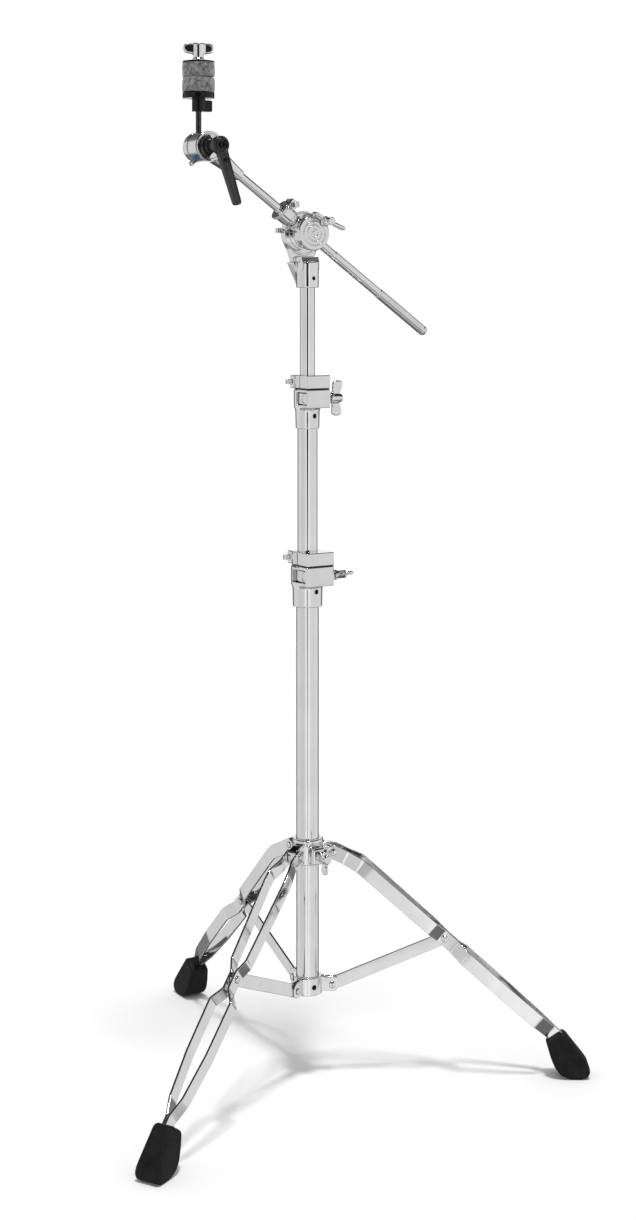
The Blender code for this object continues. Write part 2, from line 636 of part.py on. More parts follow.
def make_seat_stack(frame):
    """The seat, two felts, washer and wing nut on the cymbal rod."""
    hole = ROD_RADIUS + GAP
    sleeve = 6.0
    body_low, flange_low, flange_high = SEAT_HEIGHTS
    profile = [(hole, body_low), (7.4, body_low), (8.2, body_low + 0.8), (8.2, flange_low),
               (19.0, flange_low), (19.7, flange_low + 0.7), (19.7, flange_high - 0.7),
               (19.0, flange_high), (sleeve, flange_high), (sleeve, 100.0), (hole, 100.0)]
    seat = stack_on_rod("cymbal_seat", turned(profile, ring=True), BLACK_PLASTIC, frame)
    screw_boss = block((5.0, -6.0, body_low), (16.6, 6.0, flange_low - 2.0))
    join(seat, shifted(along_y(screw_boss), z=ROD_OFFSET))
    for name, (low, high) in (("lower_felt", LOWER_FELT), ("upper_felt", UPPER_FELT)):
        stack_on_rod(name, tube(FELT_RADIUS, sleeve + 0.4, low, high), FELT, frame)
    stack_on_rod("cup_washer", tube(19.8, hole + 0.4, *WASHER), CHROME, frame)


def stack_on_rod(name, bm, finish, frame):
    return mesh_object(name, shifted(along_y(bm), z=ROD_OFFSET), finish, frame)


def make_wing_nut(frame):
    hole = ROD_RADIUS + GAP
    low, high = WING_NUT
    profile = [(hole, low), (7.6, low), (7.6, low + 2.0), (6.2, low + 4.0), (6.2, high - 1.0),
               (5.4, high), (hole, high)]
    upright = Matrix.Rotation(math.radians(-90), 4, "X")
    nut = mesh_object("wing_nut", moved(turned(profile, 16, ring=True), upright), CHROME, frame)
    wings = plate(wing_outline(38.0, 7.6, 4.6), -2.4, 2.4)
    join(nut, shifted(wings, y=high - 7.8))
    cut(nut, moved(rod(hole, low - 4.0, high + 4.0, 16), upright))


def lever_outline():
    """Front view of the lever: a round hub and an arm that tapers to a rounded tip."""
    length = 71.0
    arm = [(6.6, -8.0), (5.9, -24.0), (4.8, -length)]
    tip = circle_points(4.8, 7, (0.0, -length), 0.0, -180.0)
    hub = circle_points(11.0, 13, (0.0, 0.0), 218.0, -256.0)
    return [*arm[:2], *tip, *[(-x, y) for x, y in reversed(arm[:2])], *hub]


def make_lever(frame):
    """The ratchet lever: a half-round foot against the drum, a round neck and the arm."""
    lean = about_z(18.5)
    arm = moved(plate(lever_outline(), 32.5, 42.5), lean)
    lever = mesh_object("ratchet_lever", arm, BLACK_PLASTIC, frame)
    join(lever, rod(9.2, 14.0, 34.0, 20))
    half_round = circle_points(14.5, 11, (0.0, 0.0), 105.0, 150.0)
    join(lever, plate([*half_round, (0.0, -9.0), (0.0, 9.0)], 13.0 + GAP, 18.5))
    cut(lever, rod(4.4, 10.0, 39.0, 16))


# ---------------------------------------------------------------- assembly

def level_frame():
    """Rotation of a frame whose X is level, Y is up and Z points out along the tilt axis."""
    return about_z(CLAMP_TURN) @ Matrix.Rotation(math.radians(90), 4, "X")


def make_tripod(column):
    mesh_object("base_tube", tube(*BASE_TUBE), CHROME, column)
    make_lower_collar(column)
    hub_frame = make_hub(column)
    for letter, azimuth in LEG_AZIMUTHS.items():
        make_leg(letter, azimuth, hub_frame)
        make_brace(letter, azimuth, column)


def make_height_sections(column):
    turned_column = axis_empty("clamp_turn", (0.0, 0.0, 0.0), column, about_z(CLAMP_TURN))
    lower_sizes = (598.5, 626.0, 650.8, 20.0, -17.0, 23.0, 28.0)
    bolt_y, bolt_z = make_clamp("lower_clamp", turned_column, lower_sizes, (-23.0, 2.5), BASE_TUBE,
                                MID_TUBE)
    make_clamp_bolt("lower_wing_bolt", turned_column, (0.0, bolt_y, bolt_z), 23.0, 78.0)
    lock_axis = axis_empty("lower_lock_axis", (0.0, 0.0, 650.8), turned_column)
    make_memory_lock("lower_memory_lock", lock_axis, (20.0, -17.0, 23.0, 28.0), 17.7, MID_TUBE[0])
    mesh_object("mid_tube", tube(*MID_TUBE), CHROME, column)
    upper_sizes = (823.4, 850.0, 873.4, 16.4, -15.0, 19.3, 25.0)
    bolt_y, bolt_z = make_clamp("upper_clamp", turned_column, upper_sizes, (-23.0, -1.0), MID_TUBE,
                                TOP_TUBE)
    make_clamp_bolt("upper_wing_bolt", turned_column, (0.0, bolt_y, bolt_z), 19.3, 4.0)
    lock_axis = axis_empty("upper_lock_axis", (0.0, 0.0, 873.4), turned_column)
    make_memory_lock("upper_memory_lock", lock_axis, (16.4, -15.0, 19.3, 25.0), 17.9, TOP_TUBE[0])
    mesh_object("upper_tube", tube(*TOP_TUBE), CHROME, column)


def make_boom_assembly(column):
    level = axis_empty("yoke_axis", (0.0, 0.0, TILT_PIVOT_Z), column, level_frame())
    make_yoke(level)
    tilt = axis_empty("boom_axis", (0.0, 0.0, 0.0), level, about_z(-BOOM_RISE))
    make_tilter(tilt)
    make_boom_lock(tilt)
    make_boom(tilt)
    drum = axis_empty("drum_axis", (-BOOM_REACH, 0.0, 0.0), tilt, about_z(BOOM_RISE))
    make_boom_head(drum)
    make_cymbal_tilter(drum)
    make_seat_stack(drum)
    nut_axis = axis_empty("wing_nut_axis", (0.0, 0.0, ROD_OFFSET), drum,
                          Matrix.Rotation(math.radians(-18), 4, "Y"))
    make_wing_nut(nut_axis)
    make_lever(drum)


def main():
    clear_scene()
    column = axis_empty("column", (COLUMN_X, 0.0, 0.0))
    make_tripod(column)
    make_height_sections(column)
    make_boom_assembly(column)


main()
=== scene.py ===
"""Looks of the cymbal boom stand: fine chrome castings, tubes, strips, felts and rubber feet
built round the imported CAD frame.

Lengths in the modelling functions are millimetres in each piece's own frame; the frames come
from the CAD joints, and the finished meshes are in metres. Castings are modelled as fields
(signed distances) and meshed, so that their edges and fillets are really round.
"""
import json
import math
from functools import reduce

import bpy
import numpy as np
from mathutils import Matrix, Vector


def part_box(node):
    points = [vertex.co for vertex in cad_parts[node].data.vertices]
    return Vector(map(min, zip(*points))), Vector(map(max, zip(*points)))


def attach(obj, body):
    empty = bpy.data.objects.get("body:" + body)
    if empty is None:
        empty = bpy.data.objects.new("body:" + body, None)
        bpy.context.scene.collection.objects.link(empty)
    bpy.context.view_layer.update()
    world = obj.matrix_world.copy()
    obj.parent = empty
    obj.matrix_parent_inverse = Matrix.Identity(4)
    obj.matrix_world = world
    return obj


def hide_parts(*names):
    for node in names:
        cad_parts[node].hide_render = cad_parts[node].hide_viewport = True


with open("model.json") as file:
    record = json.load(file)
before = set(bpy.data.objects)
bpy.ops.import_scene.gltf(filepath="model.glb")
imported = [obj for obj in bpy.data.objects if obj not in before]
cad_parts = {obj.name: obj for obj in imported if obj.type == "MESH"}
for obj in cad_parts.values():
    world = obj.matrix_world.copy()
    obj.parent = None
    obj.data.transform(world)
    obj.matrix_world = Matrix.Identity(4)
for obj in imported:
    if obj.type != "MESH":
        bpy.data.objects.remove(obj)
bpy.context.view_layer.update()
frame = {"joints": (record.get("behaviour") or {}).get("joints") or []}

import openvdb
from mathutils import Matrix, Vector

MM = 0.001
LETTERS = "abc"                         # the three legs
LEG_AZIMUTHS = (0.0, 120.0, 240.0)      # of the collar's ears and the hub's lugs
BASE_RADIUS, MID_RADIUS, TOP_RADIUS = 14.3, 12.7, 9.52
SEGMENTS = 96                           # round a turned piece
CAST_STEP = 0.5  # grid step a casting is meshed on
WORLD_X = Vector((1.0, 0.0, 0.0))
WORLD_Z = Vector((0.0, 0.0, 1.0))


# ---------------------------------------------------------------- frames from the CAD joints

JOINTS = {joint["name"]: joint for joint in frame["joints"]}


def joint_point(name):
    return Vector(JOINTS[name]["pos_m"]) / MM


def joint_axis(name):
    return Vector(JOINTS[name]["axis"]).normalized()


def frame_at(point, x_axis, z_axis):
    """A rigid frame with its origin at a point in millimetres."""
    z_axis = z_axis.normalized()
    x_axis = (x_axis - x_axis.dot(z_axis) * z_axis).normalized()
    made = Matrix((x_axis, z_axis.cross(x_axis), z_axis)).transposed().to_4x4()
    made.translation = point * MM
    return made


def shift(x=0.0, y=0.0, z=0.0):
    return Matrix.Translation(Vector((x, y, z)) * MM)


def turn(degrees, axis):
    return Matrix.Rotation(math.radians(degrees), 4, axis)


AXIS = Vector((*joint_point("mid_turn").xy, 0.0))
COLUMN = frame_at(AXIS, WORLD_X, WORLD_Z)
CLAMPS = frame_at(AXIS, joint_axis("lower_bolt_turn"), WORLD_Z)
HUB_HEIGHT = joint_point("hub_bolt_turn").z
TILT_AXIS = joint_axis("boom_tilt")
LEVEL = frame_at(joint_point("boom_tilt"), WORLD_Z.cross(TILT_AXIS), TILT_AXIS)
TILT = frame_at(joint_point("boom_tilt"), -joint_axis("boom_slide"), TILT_AXIS)
DRUM = frame_at(joint_point("cymbal_tilt"), WORLD_Z.cross(TILT_AXIS), TILT_AXIS)
ROD_SHIFT = -17.9              # the cymbal rod stands this far along the drum's axis
SEAT = DRUM @ shift(z=ROD_SHIFT) @ turn(-90, "X")
BOOM_RISE = math.degrees(LEVEL.to_3x3().col[0].angle(TILT.to_3x3().col[0]))
BOOM_REACH = (joint_point("cymbal_tilt") - joint_point("boom_tilt")).length


def bolt_frame(joint):
    """Z runs out along a wing bolt that lies level, X hangs down."""
    return frame_at(joint_point(joint), -WORLD_Z, joint_axis(joint))


def leg_plane(letter):
    """X points out from the column along a leg, Y is across the leg, Z is up."""
    outward = joint_point("leg_fold_" + letter) - AXIS
    return frame_at(AXIS, Vector((outward.x, outward.y, 0.0)), WORLD_Z)


def in_leg_plane(point):
    """(distance from the column axis, height) of a point."""
    return ((point - AXIS).xy.length, point.z)


def box_centre(node):
    low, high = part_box(node)
    return (low + high) / 2 / MM


HUB_PIVOT = in_leg_plane(joint_point("leg_fold_c"))
COLLAR_PIVOT = in_leg_plane(joint_point("brace_fold_c"))
BRACE_PIVOT = in_leg_plane((box_centre("leg_rivet_left_c") + box_centre("leg_rivet_right_c")) / 2)


# ---------------------------------------------------------------- outlines

def rounded(points, radius, closed=True, steps=4):
    """Replace each corner by a curve that starts and ends about radius before and after it."""
    result = []
    count = len(points)
    for index, point in enumerate(points):
        if not closed and index in (0, count - 1):
            result.append(Vector(point))
            continue
        before, corner, after = (Vector(points[(index + side) % count]) for side in (-1, 0, 1))
        reach = min(radius, 0.45 * (corner - before).length, 0.45 * (after - corner).length)
        first = corner + (before - corner).normalized() * reach
        last = corner + (after - corner).normalized() * reach
        for step in range(steps + 1):
            part = step / steps
            result.append(first.lerp(corner, part).lerp(corner.lerp(last, part), part))
    return result


def arc(radius, count, centre=(0.0, 0.0), start=0.0, sweep=360.0):
    """Points round a circle; a full circle doesn't repeat its first point."""
    steps = count if sweep == 360.0 else count - 1
    angles = [math.radians(start + sweep * index / steps) for index in range(count)]
    return [(centre[0] + radius * math.cos(a), centre[1] + radius * math.sin(a)) for a in angles]


# ---------------------------------------------------------------- fields

def length(*parts):
    return np.sqrt(sum(part * part for part in parts))


def slab(across, along, edge=0.0):
    """Join two distances into a solid whose rim is rounded by edge."""
    across, along = across + edge, along + edge
    return length(np.maximum(across, 0.0), np.maximum(along, 0.0)) \
        + np.minimum(np.maximum(across, along), 0.0) - edge


def block(low, high, edge=0.0):
    middle = [(a + b) / 2 for a, b in zip(low, high)]
    half = [(b - a) / 2 for a, b in zip(low, high)]

    def field(p):
        x, y, z = (np.abs(c - m) - h for c, m, h in zip(p, middle, half))
        return slab(slab(x, y, edge), z, edge)
    return field


def others(p, axis):
    return [p[index] for index in range(3) if index != axis]


def disc(radius, low, high, axis=2, centre=(0.0, 0.0), edge=0.0):
    """A cylinder along an axis; centre is in the other two coordinates."""
    def field(p):
        a, b = others(p, axis)
        across = length(a - centre[0], b - centre[1]) - radius
        return slab(across, np.abs(p[axis] - (low + high) / 2) - (high - low) / 2, edge)
    return field


def outline_distance(outline, x, y):
    """Signed distance to a closed outline, negative inside it."""
    nearest = np.full(np.broadcast(x, y).shape, 1e9)
    inside = np.zeros(nearest.shape, bool)
    for (ax, ay), (bx, by) in zip(outline, outline[1:] + outline[:1]):
        run_x, run_y = bx - ax, by - ay
        squared = run_x * run_x + run_y * run_y
        if squared < 1e-9:
            continue
        along = np.clip(((x - ax) * run_x + (y - ay) * run_y) / squared, 0.0, 1.0)
        nearest = np.minimum(nearest, (x - ax - run_x * along) ** 2 + (y - ay - run_y * along) ** 2)
        if abs(run_y) > 1e-9:
            inside ^= ((ay > y) != (by > y)) & (x < run_x * (y - ay) / run_y + ax)
    return np.where(inside, -1.0, 1.0) * np.sqrt(nearest)


def prism(outline, low, high, axis=2, edge=0.0):
    """An outline in the other two coordinates, extruded along an axis."""
    outline = [tuple(point) for point in outline]

    def field(p):
        a, b = others(p, axis)
        across = outline_distance(outline, a, b)
        return slab(across, np.abs(p[axis] - (low + high) / 2) - (high - low) / 2, edge)
    return field


def spun(outline, axis=2):
    """A closed (radius, height) outline turned about an axis."""
    outline = [tuple(point) for point in outline]

    def field(p):
        return outline_distance(outline, length(*others(p, axis)), p[axis])
    return field


def blend(radius, *fields):
    """Union with fillets."""
    def pair(a, b):
        near = np.maximum(radius - np.abs(a - b), 0.0) / radius
        return np.minimum(a, b) - near * near * radius / 4
    return lambda p: reduce(pair, (field(p) for field in fields))


def union(*fields):
    return lambda p: reduce(np.minimum, (field(p) for field in fields))


def overlap(radius, *fields):
    """What several fields share, with rounded edges."""
    def pair(a, b):
        near = np.maximum(radius - np.abs(a - b), 0.0) / radius
        return np.maximum(a, b) + near * near * radius / 4
    return lambda p: reduce(pair, (field(p) for field in fields))


def inverse(field):
    return lambda p: -field(p)


def carve(radius, field, *tools):
    """Cut tools out of a field and round the new edges."""
    return overlap(radius, field, *(inverse(tool) for tool in tools))


def placed(field, matrix):
    """A field moved by a matrix whose translation is in millimetres."""
    back = np.array(matrix.inverted())

    def moved(p):
        return field([sum(back[i][j] * p[j] for j in range(3)) + back[i][3] for i in range(3)])
    return moved


def about(axis, degrees, x=0.0, y=0.0, z=0.0):
    """Turn about an axis through the origin, then move, in millimetres."""
    return Matrix.Translation((x, y, z)) @ Matrix.Rotation(math.radians(degrees), 4, axis)


def both_sides(field, axis):
    """Mirror a field in the plane through the origin across an axis."""
    def mirrored(p):
        p = list(p)
        p[axis] = np.abs(p[axis])
        return field(p)
    return mirrored


# ---------------------------------------------------------------- meshes

def piece(name, mesh, matrix, finish, body, replaced=()):
    """Place a mesh, give it its material and let it ride on its body."""
    made = bpy.data.objects.new(name, mesh)
    bpy.context.scene.collection.objects.link(made)
    mesh.materials.append(finish)
    made.matrix_world = matrix
    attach(made, body)
    if replaced:
        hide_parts(*replaced)
    return made


def slope(field, points, value, reach):
    """Gradient of a field at points, by small steps."""
    parts = []
    for axis in range(3):
        moved = [points[:, i] + (reach if i == axis else 0.0) for i in range(3)]
        parts.append((field(moved) - value) / reach)
    return np.stack(parts, axis=1)


def extent(field, reach, step=3.0):
    """Lowest and highest corner of a field's solid, with a margin."""
    line = np.arange(-reach, reach + step, step)
    grid = np.meshgrid(line, line, line, indexing="ij", sparse=True)
    found = np.argwhere(np.broadcast_to(field(grid), (len(line),) * 3) < step)
    margin = 2.0
    return line[found.min(0)] - margin, line[found.max(0)] + margin


def cast_mesh(name, field, reach=60.0, step=CAST_STEP):
    """Mesh a field and let the field itself give the normals."""
    low, high = extent(field, reach)
    lines = [np.arange(a, b + step, step) for a, b in zip(low, high)]
    grid = np.meshgrid(*lines, indexing="ij", sparse=True)
    values = np.broadcast_to(field(grid), [len(line) for line in lines])
    volume = openvdb.FloatGrid(3.0 * step)
    volume.copyFromArray(np.ascontiguousarray(np.clip(values, -3.0 * step, 3.0 * step), np.float32))
    points, triangles, quads = volume.convertToPolygons(isovalue=0.0, adaptivity=0.004)
    points = points.astype(float) * step + np.array([line[0] for line in lines])
    for _ in range(2):
        value = field([points[:, i] for i in range(3)])
        steep = slope(field, points, value, 0.02)
        squared = np.maximum((steep * steep).sum(1), 0.25)
        nudge = np.clip(value / squared, -0.3 * step, 0.3 * step)
        points -= nudge[:, None] * steep
    value = field([points[:, i] for i in range(3)])
    normals = slope(field, points, value, 0.1)
    normals /= np.maximum(np.linalg.norm(normals, axis=1), 1e-6)[:, None]
    mesh = bpy.data.meshes.new(name)
    faces = [face.tolist() for face in triangles] + [face.tolist() for face in quads]
    mesh.from_pydata((points * MM).tolist(), [], faces)
    mesh.shade_smooth()
    mesh.normals_split_custom_set_from_vertices(normals.tolist())
    return mesh


def cast(name, field, matrix, finish, body, replaced=(), reach=60.0, step=CAST_STEP):
    return piece(name, cast_mesh(name, field, reach, step), matrix, finish, body, replaced)


def finished(mesh, sharp=40.0):
    """Shade smoothly across shallow edges; the larger faces lead, so flat faces stay flat."""
    limit = math.cos(math.radians(sharp))
    facing = [face.normal.copy() for face in mesh.polygons]
    weighted = [face.normal * face.area for face in mesh.polygons]
    around = [[] for _ in mesh.vertices]
    for face in mesh.polygons:
        for corner in face.vertices:
            around[corner].append(face.index)
    normals = []
    for face in mesh.polygons:
        for corner in face.vertices:
            near = (weighted[other] for other in around[corner]
                    if facing[other].dot(facing[face.index]) > limit)
            normals.append(sum(near, Vector()).normalized())
    mesh.shade_smooth()
    mesh.normals_split_custom_set(normals)
    return mesh


def turned_mesh(name, profile, fillet=0.5, ring=False, segments=SEGMENTS):
    """Turn (radius, height) points about Z. A ring's profile closes on itself; any other one
    starts and ends on the axis and runs from the bottom up, outside first."""
    profile = rounded(profile, fillet, closed=ring)
    points, rows = [], []
    for radius, height in profile:
        count = 1 if radius < 1e-6 else segments
        rows.append([len(points) + index for index in range(count)])
        points += [(x * MM, y * MM, height * MM) for x, y in arc(radius, count)]
    faces = []
    for lower, upper in zip(rows, rows[1:] + (rows[:1] if ring else [])):
        for index in range(segments):
            after = (index + 1) % segments
            corners = [lower[index % len(lower)], lower[after % len(lower)],
                       upper[after % len(upper)], upper[index % len(upper)]]
            face = list(dict.fromkeys(corners))
            if len(face) > 2:
                faces.append(face)
    mesh = bpy.data.meshes.new(name)
    mesh.from_pydata(points, [], faces)
    return finished(mesh)


def turned(name, profile, matrix, finish, body, replaced=(), fillet=0.5, ring=False):
    return piece(name, turned_mesh(name, profile, fillet, ring), matrix, finish, body, replaced)


def pipe(name, outer, inner, low, high, matrix, finish, body, replaced=(), fillet=0.4):
    profile = [(outer, low), (outer, high), (inner, high), (inner, low)]
    return turned(name, profile, matrix, finish, body, replaced, fillet, ring=True)


def bar_section(width, thickness, edge=0.5, steps=3):
    """Corner points of a flat bar's section, its long edges rounded."""
    corners = [(-width / 2, 0.0), (width / 2, 0.0), (width / 2, -thickness), (-width / 2, -thickness)]
    return rounded(corners, edge, steps=steps)


def swept_mesh(name, rows):
    """Skin rows of points, each a closed loop, and close both ends."""
    count = len(rows[0])
    points = [tuple(Vector(point) * MM) for row in rows for point in row]
    faces = []
    for row in range(len(rows) - 1):
        for index in range(count):
            after = (index + 1) % count
            first, second = row * count, (row + 1) * count
            faces.append((first + index, first + after, second + after, second + index))
    faces.append(tuple(reversed(range(count))))
    faces.append(tuple(range((len(rows) - 1) * count, len(rows) * count)))
    mesh = bpy.data.meshes.new(name)
    mesh.from_pydata(points, [], faces)
    return finished(mesh)


# ---------------------------------------------------------------- materials

def set_ramp(elements, stops):
    """Give a colour ramp its (position, grey or colour) stops, lowest first."""
    elements[0].position, elements[-1].position = stops[0][0], stops[-1][0]
    for position, _ in stops[1:-1]:
        elements.new(position)
    for element, (_, colour) in zip(elements, stops):
        element.color = (*colour, 1.0) if isinstance(colour, tuple) else (colour,) * 3 + (1.0,)


class Nodes:
    """A short way to write a material's node tree."""

    def __init__(self, name):
        self.material = bpy.data.materials.new(name)
        self.material.use_nodes = True
        self.tree = self.material.node_tree
        self.shader = self.tree.nodes["Principled BSDF"]
        self.place = self.add("ShaderNodeTexCoord").outputs["Object"]

    def add(self, kind, **values):
        node = self.tree.nodes.new(kind)
        for name, value in values.items():
            node.inputs[name].default_value = value
        return node

    def link(self, source, target):
        self.tree.links.new(source, target)

    def set(self, **values):
        """Set sockets of the shader; an underscore stands for a space."""
        for name, value in values.items():
            self.shader.inputs[name.replace("_", " ")].default_value = value

    def stretched(self, scale):
        """Object coordinates, scaled differently along each axis."""
        mapping = self.add("ShaderNodeMapping")
        mapping.inputs["Scale"].default_value = scale
        self.link(self.place, mapping.inputs["Vector"])
        return mapping.outputs["Vector"]

    def noise(self, scale, detail=3.0, vector=None, roughness=0.5):
        node = self.add("ShaderNodeTexNoise", Scale=scale, Detail=detail, Roughness=roughness)
        self.link(vector or self.place, node.inputs["Vector"])
        return node.outputs["Fac"]

    def ramp(self, source, stops):
        """A colour ramp from (position, grey or colour) stops."""
        node = self.add("ShaderNodeValToRGB")
        set_ramp(node.color_ramp.elements, stops)
        self.link(source, node.inputs["Fac"])
        return node.outputs["Color"]

    def bump(self, height, strength, distance):
        node = self.add("ShaderNodeBump", Strength=strength, Distance=distance)
        self.link(height, node.inputs["Height"])
        self.link(node.outputs["Normal"], self.shader.inputs["Normal"])

    def colour(self, source):
        self.link(source, self.shader.inputs["Base Color"])

    def rough(self, source):
        self.link(source, self.shader.inputs["Roughness"])


def chrome(name, wave_scale, wave_depth, grain=(1.0, 1.0, 1.0), rough=(0.02, 0.06)):
    """Mirror chrome: faint cloudy polish, a little waviness and a slightly uneven tone."""
    nodes = Nodes(name)
    nodes.set(Metallic=1.0)
    polish = nodes.noise(90.0, 4.0, nodes.stretched(grain))
    nodes.rough(nodes.ramp(polish, [(0.3, rough[0]), (0.75, rough[1])]))
    tone = [(0.3, (0.80, 0.80, 0.81)), (0.7, (0.86, 0.86, 0.87))]
    nodes.colour(nodes.ramp(nodes.noise(35.0, 2.0), tone))
    nodes.bump(nodes.noise(wave_scale, 1.0), 1.0, wave_depth)
    return nodes.material


def knurled_chrome():
    """The boom's tail: fine straight grooves along the rod, still bright."""
    nodes = Nodes("chrome_knurled")
    nodes.set(Metallic=1.0)
    nodes.colour(nodes.ramp(nodes.noise(60.0), [(0.3, (0.72, 0.72, 0.73)), (0.7, (0.82, 0.82, 0.83))]))
    nodes.rough(nodes.ramp(nodes.noise(200.0), [(0.3, 0.10), (0.7, 0.20)]))
    nodes.bump(nodes.noise(900.0, 2.0, nodes.stretched((0.4, 1.0, 1.0))), 0.5, 0.00008)
    return nodes.material


def moulded(name, dark, light, grain, rough, depth, shine=0.25):
    """Moulded rubber or plastic: two close tones, fine grain, uneven sheen."""
    nodes = Nodes(name)
    nodes.colour(nodes.ramp(nodes.noise(70.0, 6.0), [(0.35, dark), (0.72, light)]))
    nodes.rough(nodes.ramp(nodes.noise(160.0, 5.0), [(0.3, rough[0]), (0.75, rough[1])]))
    nodes.bump(nodes.noise(grain, 4.0, roughness=0.6), 0.6, depth)
    nodes.set(Specular_IOR_Level=shine)
    return nodes.material


def dark_metal(name, dark, light, rough):
    """Blackened steel, a little uneven."""
    nodes = Nodes(name)
    nodes.set(Metallic=1.0)
    nodes.colour(nodes.ramp(nodes.noise(120.0, 4.0), [(0.3, dark), (0.7, light)]))
    nodes.rough(nodes.ramp(nodes.noise(300.0), [(0.3, rough[0]), (0.7, rough[1])]))
    nodes.bump(nodes.noise(700.0, 3.0), 0.4, 0.00004)
    return nodes.material


def felt_material():
    """Pressed wool: matted fibres in several greys, fully matt."""
    nodes = Nodes("felt_wool")
    clumps = nodes.noise(210.0, 5.0, roughness=0.6)
    nodes.colour(nodes.ramp(clumps, [(0.32, 0.04), (0.44, 0.11), (0.56, 0.21), (0.70, 0.42)]))
    nodes.set(Roughness=0.95, Sheen_Weight=0.5, Sheen_Roughness=0.6)
    fibres = nodes.noise(1500.0, 6.0, nodes.stretched((1.0, 0.35, 1.0)), 0.7)
    nodes.bump(fibres, 0.9, 0.0006)
    return nodes.material


TUBE_CHROME = chrome("chrome_tube", 14.0, 0.00003, grain=(1.0, 1.0, 0.03))
CAST_CHROME = chrome("chrome_cast", 55.0, 0.00018, rough=(0.03, 0.08))
STRIP_CHROME = chrome("chrome_strip", 30.0, 0.00012, rough=(0.04, 0.10))
SMALL_CHROME = chrome("chrome_small", 80.0, 0.00006)
KNURLED = knurled_chrome()
PLASTIC = moulded("plastic_black", 0.004, 0.009, 900.0, (0.30, 0.42), 0.00010)
GLOSS_PLASTIC = moulded("plastic_gloss", 0.003, 0.006, 600.0, (0.10, 0.18), 0.00005, 0.3)
LEVER_PLASTIC = moulded("plastic_lever", 0.008, 0.018, 800.0, (0.20, 0.34), 0.00008, 0.6)
RUBBER = moulded("rubber_black", 0.004, 0.012, 700.0, (0.50, 0.70), 0.00020, 0.2)
NYLON = moulded("nylon_clear", (0.30, 0.36, 0.42), (0.42, 0.48, 0.54), 500.0, (0.3, 0.45), 0.00005)
BLUE_NYLON = moulded("nylon_blue", (0.04, 0.07, 0.14), (0.10, 0.15, 0.24), 400.0, (0.2, 0.3), 0.00005)
BLACK_STEEL = dark_metal("steel_black", 0.015, 0.035, (0.20, 0.30))
DARK_STEEL = dark_metal("steel_dark", 0.04, 0.08, (0.12, 0.20))
FELT = felt_material()


# ---------------------------------------------------------------- small hardware

def set_screw(name, matrix, body, radius=3.0, depth=2.4):
    """A recessed set screw with a hex socket; Z of its frame points out of the hole."""
    socket = [(x, y) for x, y in arc(radius * 0.55, 6)]
    field = carve(0.3, disc(radius, -depth, 0.0, edge=0.5), prism(socket, -depth * 0.7, 2.0))
    return cast(name, field, matrix, BLACK_STEEL, body, reach=12.0, step=0.2)


def key_screw(name, matrix, body, replaced, shaft, head):
    """A drum-key screw along X: a dimpled square head and a stem."""
    half = 3.2
    square = block((head[0], -half, -half), (head[1], half, half), 0.7)
    dimple = disc(1.3, head[0] - 2.0, head[0] + 0.8, axis=0)
    stem = disc(2.2, shaft[0], shaft[1], axis=0, edge=0.4)
    return cast(name, carve(0.4, blend(0.8, square, stem), dimple), matrix, SMALL_CHROME, body,
                replaced, reach=42.0, step=0.3)


def wing_field(hub, wings, span, hub_radius, thickness=4.6):
    """Hub and two lobed wings of a cast wing bolt along Z; the wings lie along X."""
    tip = span / 2
    middle = (wings[0] + wings[1]) / 2
    deep = (wings[1] - wings[0]) / 2
    lobe = [(0.0, middle - deep * 0.6), (hub_radius + 1.0, middle - deep * 0.75),
            (tip - 3.0, middle - deep * 0.85), (tip, middle - deep * 0.1), (tip - 1.5, middle + deep),
            (tip * 0.6, middle + deep * 0.95), (hub_radius, middle + deep * 0.45),
            (0.0, middle + deep * 0.4)]
    wing = both_sides(prism(rounded(lobe, 4.5), -thickness / 2, thickness / 2, axis=1, edge=1.9), 0)
    barrel = disc(hub_radius, hub[0], hub[1], edge=1.2)
    flare = disc(hub_radius + 1.4, hub[0], hub[0] + 3.0, edge=0.8)
    return blend(3.5, blend(1.5, barrel, flare), wing)


def wing_bolt(name, matrix, body, shaft, hub, wings, span, hub_radius=5.2):
    field = union(wing_field(hub, wings, span, hub_radius), disc(2.8, shaft[0], shaft[1], edge=0.4))
    return cast(name, field, matrix, CAST_CHROME, body, [name], reach=66.0)


# ---------------------------------------------------------------- tubes

def make_tubes():
    pipe("base_tube_fine", BASE_RADIUS, 13.1, 109.5, 622.0, COLUMN, TUBE_CHROME, "base", ["base_tube"])
    pipe("mid_tube_fine", MID_RADIUS, 11.2, 430.0, 846.0, COLUMN, TUBE_CHROME, "mid_section", ["mid_tube"])
    pipe("upper_tube_fine", TOP_RADIUS, 8.2, 640.0, 1029.0, COLUMN, TUBE_CHROME, "top_section",
         ["upper_tube"])
    plug = [(0.0, 108.0), (12.2, 108.0), (12.9, 110.0), (12.9, 122.0), (0.0, 122.0)]
    turned("tube_plug", plug, COLUMN, PLASTIC, "base", fillet=0.8)


# ---------------------------------------------------------------- tripod

def strip_stations():
    """Centre line of a leg strip (distance, height) with the offset of its outer face."""
    slope_down = (BRACE_PIVOT[1] - 262.0) / (BRACE_PIVOT[0] - 77.0)

    def lower(distance):
        return BRACE_PIVOT[1] + slope_down * (distance - BRACE_PIVOT[0])

    return [(24.6, 291.4, 9.0), (*HUB_PIVOT, 9.0), (48.0, 280.3, 9.0), (66.0, 271.4, 14.6),
            (77.0, 262.0, 15.2), (158.0, lower(158.0), 11.6), (170.0, lower(170.0), 4.6),
            (187.0, lower(187.0), 4.6), (198.5, lower(198.5), 15.8), (250.0, lower(250.0), 14.9),
            (292.0, lower(292.0), 10.0), (309.0, lower(309.0), 3.0), (330.0, lower(330.0), 3.0)]


